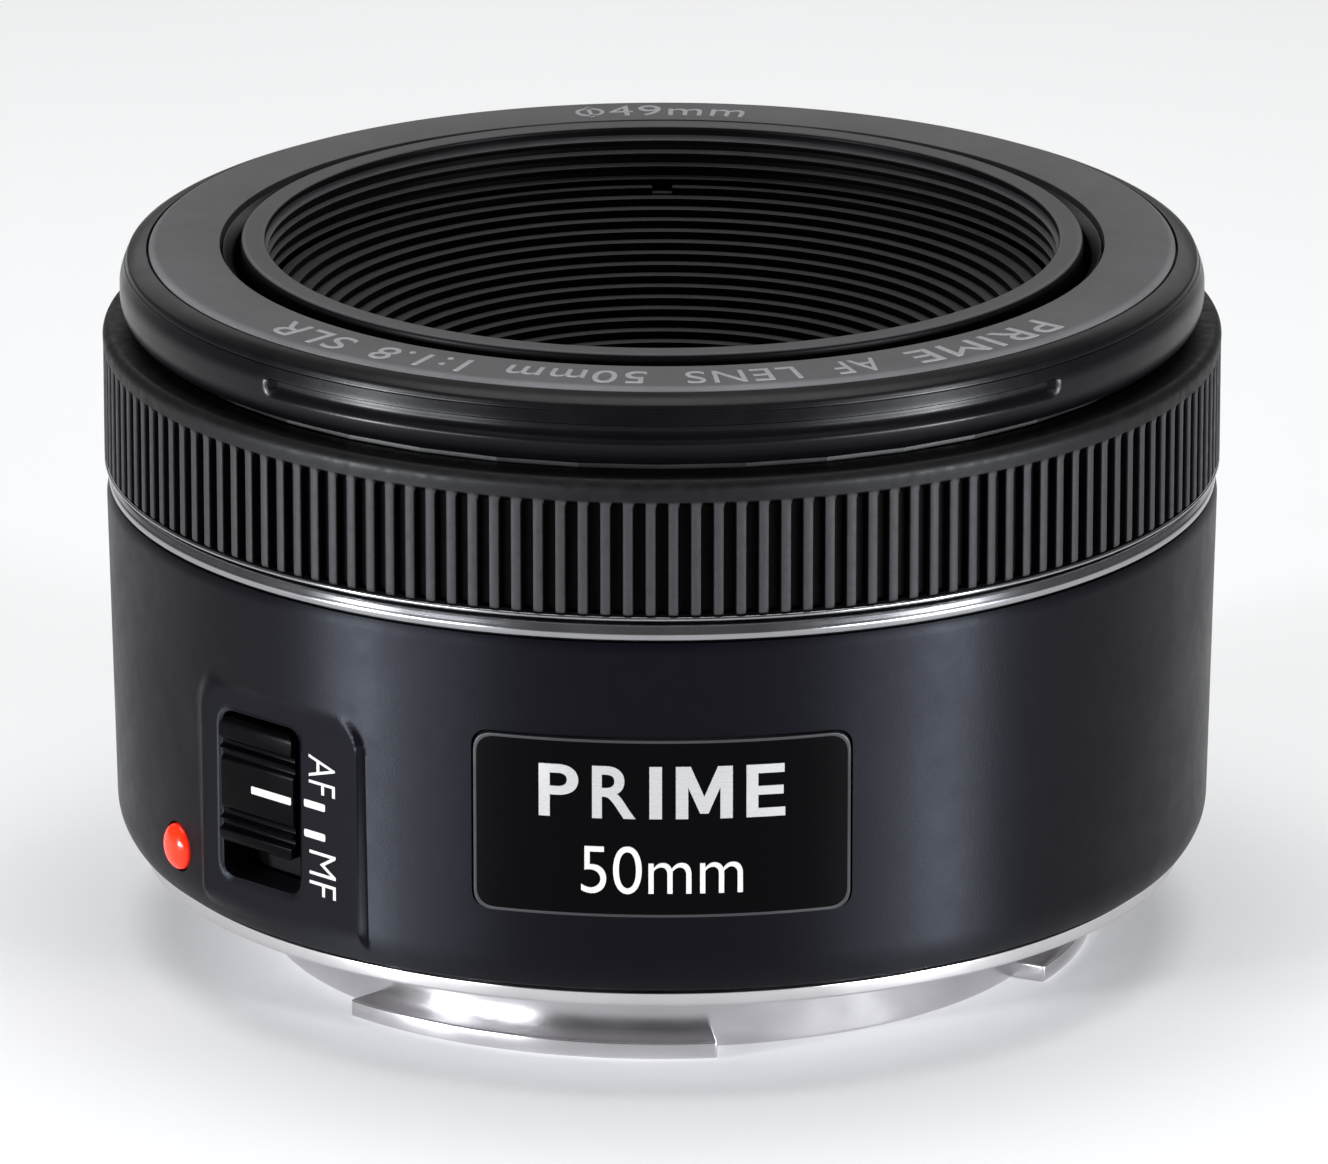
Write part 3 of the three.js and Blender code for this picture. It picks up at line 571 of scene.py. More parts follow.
def printed(name, colour):
    """Printed ink: a slightly uneven colour over a fine dry grain."""
    look = Look(name)
    look.colours(look.noise(0.5, detail=4), scaled(colour, 0.88), colour)
    look.rough(look.noise(0.3), 0.42, 0.58)
    look.bump((look.noise(0.06), 0.002))
    return look.material


def coated_glass(name, tint, second_tint):
    """Clear glass whose coating leaves a faint reflection, of one hue in the middle and another
    towards the rim."""
    look = Look(name, IOR=1.62, Transmission_Weight=1.0, Base_Color=(0.96, 0.97, 0.98, 1))
    facing = look.node("ShaderNodeLayerWeight")
    fill(facing, Blend=0.35)
    smear = look.noise(5.0, detail=3)
    mixed = look.maths("ADD", facing.outputs["Facing"], look.between(smear, -0.08, 0.08))
    look.drive("Specular Tint", look.ramp(mixed, tint, second_tint))
    look.rough(smear, 0.004, 0.02)
    return look.material


def circuit_board(name):
    """Green solder mask over a pattern of copper."""
    look = Look(name)
    bricks = look.node("ShaderNodeTexBrick")
    fill(bricks, Scale=0.35, Mortar_Size=0.03, Mortar=(0.03, 0.2, 0.09, 1),
         Color1=(0.01, 0.09, 0.035, 1), Color2=(0.012, 0.11, 0.045, 1))
    look.link(look.place, bricks.inputs["Vector"])
    look.drive("Base Color", bricks.outputs["Color"])
    look.rough(look.noise(1.0), 0.28, 0.42)
    look.bump((bricks.outputs["Fac"], 0.02))
    return look.material


def enamel(name, colour, roughness):
    """Glossy filled paint with a soft clear surface."""
    look = Look(name, Coat_Weight=0.3, Coat_Roughness=0.08, Specular_IOR_Level=0.2)
    look.colours(look.noise(0.8, detail=3), scaled(colour, 0.9), colour)
    look.rough(look.noise(0.4), roughness - 0.05, roughness + 0.05)
    look.bump((look.noise(0.25), 0.003))
    return look.material


def grip_rubber(name):
    """Dark rubber, lighter on the faces of the ribs than in the grooves: painted shade in the
    grooves, which are darker and reflect less. A little random dust varies the rib faces.
    """
    look = Look(name)
    parts = look.node("ShaderNodeSeparateXYZ")
    look.link(look.turned_place(), parts.inputs[0])
    outermost = look.between(parts.outputs[0], 0, 1, FOCUS.radius - 0.2, FOCUS.radius - 0.04)
    below_lip = look.between(parts.outputs[1], 1, 0, RIB_TOP - 0.2, RIB_TOP)
    on_rib = look.maths("MULTIPLY", outermost, below_lip)
    groove = look.maths("MULTIPLY", look.between(outermost, 1, 0, 0, 1), below_lip)
    # Painted shade: the grooves reflect less than the faces of the ribs.
    look.drive("Specular IOR Level", look.between(groove, 0.17, 0.03, 0, 1))
    dust = look.between(look.noise(0.5, detail=5, roughness=0.7), 0.75, 1.15)
    lit_ribs_and_dust = look.maths("MULTIPLY", on_rib, dust)
    # Painted shade: the grooves take the dark end of the ramp and the rib faces the lighter end,
    # varied by the dust noise.
    look.colours(lit_ribs_and_dust, (0.001, 0.0009, 0.0012), (0.022, 0.021, 0.023), 0, 1)
    look.rough(look.noise(0.8, detail=3), 0.42, 0.6)
    look.bump((look.noise(0.09), 0.006), (look.noise(0.6), 0.004))
    return look.material


SHELL_PLASTIC = moulded("shell_plastic", (0.0014, 0.0011, 0.0021), 0.45, specular=0.15, streak=0.88,
                        tint=(0.8, 0.86, 1.0))
KNOB_PLASTIC = moulded("knob_plastic", (0.0006, 0.0005, 0.0008), 0.3, specular=0.035, depth=0.003)
# Painted shade: the casing's downward faces reflect less, for the shade in the gap beneath it.
RING_PLASTIC = moulded("ring_plastic", (0.0018, 0.0016, 0.0022), 0.32, specular=0.16, depth=0.004,
                       streak=0.55, shaded_underside=True)
# The barrel's ledge colour is painted light on the rim and the thread faces that look up to the
# lamps.
BARREL_PLASTIC = moulded("barrel_plastic", (0.002, 0.002, 0.0022), 0.4, specular=0.05, depth=0.003,
                         ledge=(0.075, 0.072, 0.075))
FACE_PLASTIC = moulded("face_plastic", (0.088, 0.084, 0.088), 0.55, specular=0.2, depth=0.005)
MATTE_PLASTIC = moulded("matte_plastic", (0.006, 0.006, 0.0065), 0.42, specular=0.45, grain=0.2)
# The baffle's ledge colour is painted light on the tops of its steps.
BAFFLE_PLASTIC = moulded("baffle_plastic", (0.0015, 0.0014, 0.0016), 0.5, specular=0.12,
                         depth=0.004, ledge=(0.045, 0.043, 0.045))
PLATE_PLASTIC = moulded("plate_plastic", (0.0004, 0.0004, 0.0006), 0.3, specular=0.05, depth=0.0008,
                        spread=0.02, streak=0.8)
# A lighter, more reflective copy of the nameplate's plastic: a painted highlight on the frame round
# the plate.
PLATE_EDGE_HIGHLIGHT = moulded("plate_edge_highlight", (0.012, 0.012, 0.014), 0.3, specular=0.5, depth=0.0008)
GRIP_RUBBER = grip_rubber("grip_rubber")
TRIM_METAL = machined("trim_metal", (0.34, 0.34, 0.355), 0.2)
MOUNT_STEEL = machined("mount_steel", (0.6, 0.585, 0.6), 0.2)
SCREW_STEEL = machined("screw_steel", (0.42, 0.42, 0.43), 0.3, line=0.08)
CONTACT_GOLD = machined("contact_gold", (0.85, 0.58, 0.2), 0.2)
BRASS = machined("brass", (0.6, 0.42, 0.15), 0.3)
BLADE_COATING = moulded("blade_coating", (0.003, 0.003, 0.0035), 0.5, specular=0.06, depth=0.001)
LETTER_WHITE = printed("letter_white", (0.4, 0.395, 0.39))
FACE_LETTERS = printed("face_letters", (0.3, 0.3, 0.31))
LETTER_SILVER = machined("letter_silver", (0.74, 0.74, 0.75), 0.28, line=0.12)
INDEX_RED = enamel("index_red", (0.95, 0.022, 0.004), 0.22)
NYLON = moulded("nylon", (0.7, 0.69, 0.65), 0.45)
BOARD = circuit_board("circuit_board")
FRONT_GLASS = coated_glass("front_glass", (0.05, 0.13, 0.08), (0.12, 0.04, 0.16))
INNER_GLASS = coated_glass("inner_glass", (0.08, 0.055, 0.02), (0.03, 0.03, 0.09))

CAD_LOOKS = {
    "shell_plastic": SHELL_PLASTIC,
    "face_plastic": FACE_PLASTIC,
    "gloss_plate": PLATE_PLASTIC,
    "matte_black": MATTE_PLASTIC,
    "trim_metal": TRIM_METAL,
    "mount_steel": MOUNT_STEEL,
    "screw_steel": SCREW_STEEL,
    "contact_gold": CONTACT_GOLD,
    "index_red": INDEX_RED,
    "optical_glass": INNER_GLASS,
    "circuit_board": BOARD,
    "brass_parts": BRASS,
    "blade_black": BLADE_COATING,
    "white_nylon": NYLON,
}


def dress_cad_nodes():
    """Every CAD node gets the material of its slot; most of those seen are replaced later."""
    slots = {part["node"]: part["material_slot"] for part in frame["record"]["subparts"]}
    for name, node in frame["nodes"].items():
        node.data.materials.clear()
        node.data.materials.append(CAD_LOOKS[slots[name]])


# ---- Lettering ----


def text_mesh(name, text, bold=0.0, spacing=1.0):
    """Letters of the built-in font, with their strokes widened or narrowed by bold."""
    curve = bpy.data.curves.new(name, "FONT")
    curve.body = text
    curve.size = 1
    curve.offset = bold
    curve.space_character = spacing
    curve.extrude = 0.5
    holder = bpy.data.objects.new(name + "_curve", curve)
    bpy.context.scene.collection.objects.link(holder)
    bpy.context.view_layer.update()
    graph = bpy.context.evaluated_depsgraph_get()
    mesh = bpy.data.meshes.new_from_object(holder.evaluated_get(graph))
    bpy.data.objects.remove(holder)
    return mesh


LETTER_CUT = 0.35  # letters are cut into strips this wide, so that they can bend


def lettering(name, mesh, width, height, thickness):
    """Flat raised letters in [across, up, thickness], centred, cut finely enough to bend."""
    low = [min(v.co[axis] for v in mesh.vertices) for axis in range(3)]
    high = [max(v.co[axis] for v in mesh.vertices) for axis in range(3)]
    wanted = (width, height, thickness)
    for vertex in mesh.vertices:
        for axis in range(3):
            share = (vertex.co[axis] - low[axis]) / (high[axis] - low[axis])
            vertex.co[axis] = (share - (0 if axis == 2 else 0.5)) * wanted[axis]
    work = bmesh.new()
    work.from_mesh(mesh)
    bmesh.ops.remove_doubles(work, verts=work.verts, dist=1e-4)
    bmesh.ops.triangulate(work, faces=[face for face in work.faces if len(face.verts) > 4])
    cuts = math.ceil(width / LETTER_CUT)
    for i in range(1, cuts):
        bmesh.ops.bisect_plane(
            work, geom=work.verts[:] + work.edges[:] + work.faces[:],
            plane_co=(width * (i / cuts - 0.5), 0, 0), plane_no=(1, 0, 0))
    bmesh.ops.triangulate(work, faces=[face for face in work.faces if len(face.verts) > 4])
    work.to_mesh(mesh)
    work.free()
    piece = bpy.data.objects.new(name, mesh)
    bpy.context.scene.collection.objects.link(piece)
    return piece


def bold_m():
    """The built-in font's M crosses itself when it is widened, so this one is drawn."""
    width = 1.15
    left_leg = [(0.25, 0), (0, 0), (0, 1), (0.3, 1)]
    left_stroke = [(0.49, 0.1), (0.25, 0.6)]
    right_leg = [(width - x, y) for x, y in reversed(left_leg)]
    right_stroke = [(width - x, y) for x, y in reversed(left_stroke)]
    outline = left_leg + [(width / 2, 0.42)] + right_leg + right_stroke + left_stroke
    letter = prism("letter", outline, 0, 1)
    mesh = letter.data
    bpy.data.objects.remove(letter)
    return mesh


def bend(piece, rule):
    """Moves every vertex to the place, in millimetres, that the rule gives for its own."""
    for vertex in piece.data.vertices:
        vertex.co = Vector(rule(*vertex.co)) * MM
    face_outwards(piece)
    piece.data.set_sharp_from_angle(angle=math.radians(30))


def on_cylinder(piece, radius, height, centre=0.0):
    """Wraps lettering round the side of the lens. Its centre is counted from the nameplate's."""
    def rule(across, up, out):
        angle = math.degrees((centre + across) / radius)
        return (*around(angle, radius + out), height + up)
    bend(piece, rule)


def on_face(piece, radius, angle, surface):
    """Lays lettering on the front face, with the tops of the letters outwards."""
    def rule(across, up, out):
        place_angle = angle - math.degrees(across / radius)
        return (*around(place_angle, radius + up), surface + out)
    bend(piece, rule)


def on_pad(piece, across, height, surface, turn):
    """Lays lettering on the flat switch pad, turned clockwise by the given angle."""
    c, s = math.cos(math.radians(turn)), math.sin(math.radians(turn))
    matrix = side_matrix(PAD_ANGLE)

    def rule(x, y, out):
        return matrix @ Vector((across + c * x + s * y, height - s * x + c * y, surface + out))
    bend(piece, rule)


# ---- Mount ----


def bayonet_mount():
    seat_inside = MOUNT.radius - 5.1
    recess = SEAT + 0.3
    spigot, spigot_top = 31.1, 7.6
    profile = rounded([
        (MOUNT_BORE, 0, 0.25),
        (TUBE_RADIUS, 0, 0.2),
        (TUBE_RADIUS, recess, 0.15),
        (seat_inside, recess),
        (seat_inside, SEAT, 0.05),
        (MOUNT.radius, SEAT, 0.18),
        (MOUNT.radius, FLANGE_TOP, 0.12),
        (spigot, FLANGE_TOP),
        (spigot, spigot_top),
        (MOUNT_BORE, spigot_top),
    ])
    mount = turned("steel_mount", profile, 360)
    tabs = []
    for centre in TAB_CENTRES:
        start, end = centre - TAB_WIDTH / 2, centre + TAB_WIDTH / 2
        tab = prism("tab", sector(TUBE_RADIUS - 0.6, TAB_RADIUS, start, end), 0, TAB_HEIGHT)
        tabs.append(bevelled(tab, 0.14))
    combine(mount, tabs, "UNION")
    mouth, hole, beyond = 2.45, 1.2, 8.5
    sink = [(0, SEAT - 0.5), (mouth, SEAT - 0.5), (hole, SEAT + 1.0), (hole, beyond), (0, beyond)]
    cutters = []
    for angle in SCREW_ANGLES:
        cutters.append(moved(turned_solid("sink", sink, 48), *around(angle, SCREW_DISTANCE)))
    lock_angle, lock_radius = LOCK_HOLE
    lock = prism("lock", circle(lock_radius, 48), SEAT - 1, 9)
    cutters.append(moved(lock, *around(lock_angle, SCREW_DISTANCE)))
    combine(mount, cutters)
    shade(mount)
    place(mount, MOUNT_STEEL, "housing", "mount_steel", "bayonet_mount")


def cross_screw(name, radius, depth, bottom, shank, top):
    """A countersunk cross-head screw, head down, on the axis."""
    profile = [
        (0, bottom + 0.04),
        (radius * 0.6, bottom),
        (radius * 0.95, bottom + 0.03),
        (radius, bottom + 0.12),
        (shank, bottom + depth),
        (shank, top),
        (0, top),
    ]
    screw = turned_solid(name, profile, 48)
    length, width = radius * 0.62, radius * 0.16
    arms = [
        prism("arm", [(-a, -b), (a, -b), (a, b), (-a, b)], bottom - 0.5, bottom + depth * 0.5)
        for a, b in ((length, width), (width, length))
    ]
    combine(screw, arms)
    shade(screw)
    return screw


def mount_screws():
    for i, angle in enumerate(SCREW_ANGLES):
        name = f"flange_screw_{i + 1}"
        screw = cross_screw(name, *SCREW_HEAD, bottom=SEAT + 0.12, shank=0.8, top=12)
        moved(screw, *around(angle, SCREW_DISTANCE))
        place(screw, SCREW_STEEL, "housing", "screw_steel", f"mount_screw_{i + 1}")


def rear_cover():
    """The ridged light baffle round the rear glass, open at the contacts."""
    outside, inside = 22.1, 15.2
    bottom, ledge, top = 0.7, 2.4, 3.6
    pitch, land, groove = 0.75, 0.55, 0.22
    steps = []
    for i in range(RIDGES):
        radius = 20.7 - i * pitch
        steps += [
            (radius, ledge, 0.1),
            (radius - land, ledge, 0.1),
            (radius - land, ledge + groove),
            (radius - pitch, ledge + groove),
        ]
    profile = rounded([
        (outside, bottom, 0.15),
        (21.2, bottom, 0.15),
        (20.9, ledge),
        *steps,
        (inside, ledge, 0.2),
        (inside, top),
        (outside, top),
    ], steps=3)
    cover = turned("light_baffle", profile, 200)
    half = CONTACT_HALF_WIDTH + 1
    notch = sector(16.3, 24, CONTACT_ANGLE - half, CONTACT_ANGLE + half)
    combine(cover, [prism("notch", notch, 0, 5)])
    shade(cover)
    place(cover, MATTE_PLASTIC, "housing", "matte_black", "rear_cover")


def contact_block():
    start, end = CONTACT_ANGLE - CONTACT_HALF_WIDTH, CONTACT_ANGLE + CONTACT_HALF_WIDTH
    block = bevelled(prism("terminal_block", sector(16.8, 21.9, start, end), 0.5, 4.6), 0.3)
    pin_profile = [(0, 0.35), (0.45, 0.37), (0.66, 0.43), (0.75, 0.58), (0.75, 1.5), (0, 1.5)]
    cutters = []
    for i in range(CONTACTS):
        angle = CONTACT_ANGLE + (i - (CONTACTS - 1) / 2) * CONTACT_SPACING
        centre = around(angle, CONTACT_DISTANCE)
        cutters.append(moved(prism("pocket", circle(0.98), 0, 1.8), *centre))
        pin = turned_solid(f"gold_contact_{i + 1}", pin_profile, 40)
        shade(pin)
        moved(pin, *centre)
        place(pin, CONTACT_GOLD, "housing", "contact_gold", f"contact_pin_{i + 1}")
    for i, side in enumerate((-1, 1)):
        centre = around(CONTACT_ANGLE + side * BLOCK_SCREW_OFFSET, BLOCK_SCREW_DISTANCE)
        cutters.append(moved(prism("counterbore", circle(1.45), 0, 2.2), *centre))
        name = f"block_screw_{i + 1}"
        screw = cross_screw(name, *BLOCK_SCREW_HEAD, bottom=0.9, shank=0.55, top=5.2)
        moved(screw, *centre)
        place(screw, SCREW_STEEL, "housing", "screw_steel", f"contact_screw_{i + 1}")
    combine(block, cutters)
    shade(block)
    place(block, MATTE_PLASTIC, "housing", "matte_black", "contact_block")


# ---- Shell, nameplate, dot and switch ----


def smooth_step(value, start, end):
    """Rises smoothly from 0 at start to 1 at end."""
    t = min(1.0, max(0.0, (value - start) / (end - start)))
    return t * t * (3 - 2 * t)


def outside_rectangle(x, y, left, right, bottom, top, corner):
    """Distance from a point to a round-cornered rectangle, negative inside it."""
    dx = abs(x - (left + right) / 2) - (right - left) / 2 + corner
    dy = abs(y - (bottom + top) / 2) - (top - bottom) / 2 + corner
    return math.hypot(max(dx, 0), max(dy, 0)) + min(max(dx, dy), 0) - corner


def pad_relief(angle, radius, height):
    """Pulls the shell's outside onto the flat of the switch pad. The pad's flank is broad on its
    left and narrow elsewhere, and a shallow step runs round the slot."""
    turn = math.radians(angle - PAD_ANGLE)
    near_pad = math.cos(turn) > 0.8
    if radius < SHELL_INSIDE + 1 or not near_pad:
        return radius
    across = PAD_DISTANCE * math.tan(turn)
    distance = outside_rectangle(
        across, height, -PAD_HALF_WIDTH, PAD_HALF_WIDTH, PAD_BOTTOM - 3, PAD_TOP, PAD_CORNER)
    broad, narrow = 1.3, 0.34
    to_narrow = smooth_step(across, -PAD_HALF_WIDTH, PAD_CORNER - PAD_HALF_WIDTH)
    flank = broad - (broad - narrow) * to_narrow
    weight = 1 - smooth_step(distance, -0.06, flank)
    weight *= smooth_step(height, SHELL.bottom + 0.9, PAD_BOTTOM + 0.9)
    slot = outside_rectangle(
        across - SLOT_CENTRE, height, -SLOT_HALF_WIDTH, SLOT_HALF_WIDTH, SLOT_BOTTOM, SLOT_TOP,
        SLOT_CORNER)
    step_depth, step_width = 0.16, 0.28
    step = step_depth * (1 - smooth_step(slot, 0, step_width))
    return radius + (PAD_DISTANCE / math.cos(turn) - radius) * weight - step


def shell_angles():
    """Close columns across the switch pad and wider ones elsewhere."""
    half_span, fine, coarse = 15, 0.22, 1.0
    start, end = PAD_ANGLE - half_span, PAD_ANGLE + half_span
    angles = [start + fine * i for i in range(math.ceil((end - start) / fine))]
    rest = 360 - (end - start)
    count = math.ceil(rest / coarse)
    return angles + [end + rest * i / count for i in range(count)]


def outer_barrel():
    rear = SHELL_REAR_RADIUS
    bottom, top = SHELL.bottom, SHELL.top
    slot = rectangle(SLOT_CENTRE - SLOT_HALF_WIDTH, SLOT_CENTRE + SLOT_HALF_WIDTH, SLOT_BOTTOM,
                     SLOT_TOP, SLOT_CORNER)
    outside = divided(rounded([
        (SHELL_INSIDE, top),
        (31.7, bottom + 1.8),
        (31.7, bottom),
        (rear - 0.9, bottom, 0.35),
        (rear, bottom + 1.25, 1.1),
        (SHELL_RADIUS, top - 0.3, 0.4),
        (SHELL_RADIUS - 0.2, top, 0.1),
    ], steps=8), 0.22)
    shell = turned("barrel_shell", outside, shell_angles(), pad_relief)
    cutters = [
        side_prism("slot", rounded(slot, 8), PAD_ANGLE, 29, 37),
        side_prism("recess", rounded(plate_outline(0.14), 8), 0, 25, 38),
        side_prism("dot", circle(DOT_RADIUS + 0.14, 48), DOT_ANGLE, SHELL_INSIDE + 0.4, 37),
    ]
    core = turned("core", [(20, 5), (PLATE_SEAT, 5), (PLATE_SEAT, 40), (20, 40)], 360)
    combine(cutters[1], [core])
    moved(cutters[2], 0, 0, DOT_HEIGHT)
    combine(shell, cutters)
    shade(shell, 28)
    place(shell, SHELL_PLASTIC, "housing", "shell_plastic", "outer_barrel")


def plate_outline(grow):
    half = PLATE.radius + grow
    return rectangle(-half, half, PLATE.bottom - grow, PLATE.top + grow, PLATE_CORNER)


def plate_cutter(name, grow=0.0, near=25, far=38):
    """The nameplate's outline, as a cutter from one depth to another."""
    return side_prism(name, rounded(plate_outline(grow), 10), 0, near, far)


def name_plate():
    """The gloss plate and the thin frame round it, both cut from a curved sheet. The frame's
    lighter, more reflective plastic is a painted highlight along the plate's bevel.
    """
    back, bottom, top = PLATE_SEAT + 0.25, 9, 26
    corners = [(back, bottom), (PLATE_SURFACE, bottom), (PLATE_SURFACE, top), (back, top)]
    sheet = divided(corners, 3)
    plate = turned("gloss_nameplate", sheet, 720)
    combine(plate, [plate_cutter("outline", -PLATE_EDGE_WIDTH)], "INTERSECT")
    shade(plate, 25)
    place(plate, PLATE_PLASTIC, "housing", "gloss_plate", "name_plate")
    edge = turned("nameplate_edge", sheet, 720)
    combine(edge, [plate_cutter("outline")], "INTERSECT")
    combine(edge, [plate_cutter("window", -PLATE_EDGE_WIDTH, 24, 39)])
    bevelled(edge, 0.07, angle=50)
    shade(edge, 25)
    place(edge, PLATE_EDGE_HIGHLIGHT, "housing", "gloss_plate")


def plate_words():
    title = (("P", 2.4), ("R", 2.6), ("I", 0.75), ("M", 3.4), ("E", 2.35))
    gap = (TITLE_WIDTH - sum(width for letter, width in title)) / (len(title) - 1)
    left = -TITLE_WIDTH / 2
    for i, (letter, width) in enumerate(title):
        name = f"title_letter_{i + 1}"
        mesh = bold_m() if letter == "M" else text_mesh(name, letter, bold=0.016)
        piece = lettering(name, mesh, width, TITLE_HEIGHT, 0.16)
        on_cylinder(piece, PLATE_SURFACE, 19.72, left + width / 2)
        place(piece, LETTER_SILVER, "housing", "mount_steel")
        left += width + gap
    name = "plate_focal_length"
    piece = lettering(name, text_mesh(name, "50mm", bold=-0.006), 9.7, 3.0, 0.1)
    on_cylinder(piece, PLATE_SURFACE, 14.8)
    place(piece, LETTER_WHITE, "housing", "white_nylon")


def mount_index_dot():
    base, rim, crown = SHELL_INSIDE + 0.6, 34.0, 34.75
    dome = []
    for degrees in range(0, 90, 9):
        angle = math.radians(degrees)
        dome.append((DOT_RADIUS * math.cos(angle), rim + (crown - rim) * math.sin(angle)))
    dot = turned_solid("red_dot", [(0, base), (DOT_RADIUS, base), *dome, (0, crown)], 64)
    shade(dot)
    transform(dot, side_matrix(DOT_ANGLE))
    moved(dot, 0, 0, DOT_HEIGHT)
    place(dot, INDEX_RED, "housing", "index_red", "mount_index_dot")


def knob_profile(bottom, top, base, face):
    """The knob's [height, depth] section: two pairs of grip grooves and a low middle."""
    middle = AF_MARK - 0.15
    valley = PAD_DISTANCE + 0.02
    upper = [
        (1.5, face - 0.2, 0.15),
        (1.75, valley, 0.1),
        (2.05, valley, 0.1),
        (2.25, face - 0.03, 0.1),
        (2.45, valley, 0.1),
        (2.75, valley, 0.12),
        (2.95, face, 0.12),
    ]
    above = [(middle + offset, depth, setback) for offset, depth, setback in upper]
    below = [(middle - offset, depth, setback) for offset, depth, setback in reversed(upper)]
    return rounded([
        (bottom, base),
        (bottom, face - 0.1, 0.5),
        *below,
        *above,
        (top, face - 0.1, 0.5),
        (top, base),
    ], steps=4)


def switch_knob():
    top = SLOT_TOP - 0.3
    bottom = SLOT_BOTTOM + 0.3 + SWITCH_TRAVEL
    base, face = 31.3, PAD_DISTANCE + 0.42
    left = SLOT_CENTRE - SLOT_HALF_WIDTH + 0.2
    right = SLOT_CENTRE + SLOT_HALF_WIDTH - 0.2
    outline = [(depth, height) for height, depth in knob_profile(bottom, top, base, face)]
    knob = prism("slider", outline, left, right)
    across = Matrix(((0, 0, 1, 0), (0, 1, 0, 0), (1, 0, 0, 0), (0, 0, 0, 1)))
    transform(knob, side_matrix(PAD_ANGLE) @ across)
    face_outwards(knob)
    limits = rounded(rectangle(left, right, bottom, top, SLOT_CORNER - 0.2), 8)
    combine(knob, [side_prism("limits", limits, PAD_ANGLE, base - 1.3, 37)], "INTERSECT")
    bevelled(knob, 0.1, angle=40)
    shade(knob)
    place(knob, KNOB_PLASTIC, "switch_knob", "shell_plastic", "switch_knob")
    stroke = rounded(rectangle(-2.2, 1.17, AF_MARK - 0.36, AF_MARK + 0.12, 0.1))
    line = side_prism("slider_line", stroke, PAD_ANGLE, face - 0.4, face - 0.17)
    place(line, LETTER_WHITE, "switch_knob", "white_nylon")


def switch_marks():
    surface = PAD_DISTANCE - 0.01
    words = (("af_letters", "AF", 2.4, 18.35), ("mf_letters", "MF", 2.8, 12.05))
    for name, text, length, height in words:
        letters = lettering(name, text_mesh(name, text, bold=-0.008), length, 2.2, 0.03)
        on_pad(letters, 3.58, height, surface, turn=90)
        place(letters, LETTER_WHITE, "housing", "white_nylon")
    for name, height in (("af_mark", AF_MARK), ("mf_mark", AF_MARK - SWITCH_TRAVEL)):
        outline = rounded(rectangle(2.05, 3.82, height - 0.24, height + 0.24, 0.12))
        mark = side_prism(name, outline, PAD_ANGLE, surface - 0.05, surface + 0.03)
        place(mark, LETTER_WHITE, "housing", "white_nylon")


# ---- Rings ----


def trim_ring():
    inner, outer = 32.4, TRIM.radius
    bottom, top = TRIM.bottom, TRIM.top
    profile = rounded([
        (inner, bottom),
        (outer - 0.35, bottom - 0.22, 0.08),
        (outer - 0.06, bottom - 0.1, 0.15),
        (outer, bottom + 0.3, 0.12),
        (outer - 0.09, bottom + 0.46, 0.05),
        (outer - 0.2, top - 0.02, 0.1),
        (outer - 0.35, top + 0.06, 0.08),
        (inner, top + 0.06),
    ])
    ring = turned("polished_shoulder", profile, 360)
    shade(ring, 40)
    place(ring, TRIM_METAL, "housing", "trim_metal", "trim_ring")


def focus_ring():
    bottom, top = FOCUS.bottom, FOCUS.top
    outer, inner = FOCUS.radius, 32.3
    neck = outer - 0.75
    profile = divided(rounded([
        (inner, bottom),
        (neck, bottom),
        (neck, RIB_BOTTOM - 0.06),
        (outer - 0.1, RIB_BOTTOM - 0.06, 0.06),
        (outer - 0.03, RIB_BOTTOM + 0.1, 0.06),
        (outer - 0.03, RIB_TOP, 0.05),
        (outer, top - 0.45, 0.3),
        (outer - 0.42, top, 0.2),
        (inner, top),
    ], steps=4), 0.4)

    def ribbed(angle, radius, height):
        if radius < outer - 0.2 or height > RIB_TOP:
            return radius
        place_in_pitch = (angle / 360 * RIBS) % 1
        from_centre = abs(place_in_pitch - 0.5) / RIB_SHARE * 2
        groove = smooth_step(from_centre, 0.82, 1.12)
        return radius - RIB_DEPTH * groove * (1 - smooth_step(height, RIB_TOP - 0.3, RIB_TOP))

    ring = turned("ribbed_ring", profile, RIBS * RIB_COLUMNS, ribbed)
    shade(ring, 40)
    place(ring, GRIP_RUBBER, "focus_ring", "shell_plastic", "focus_ring")
    edge = turned("polished_edge", rounded([
        (neck + 0.02, bottom + 0.08),
        (outer - 0.1, bottom + 0.08, 0.08),
        (outer, bottom + 0.22, 0.08),
        (outer - 0.1, bottom + 0.36, 0.08),
        (neck + 0.02, bottom + 0.36),
    ]), 360)
    shade(edge, 40)
    place(edge, TRIM_METAL, "focus_ring", "trim_metal")


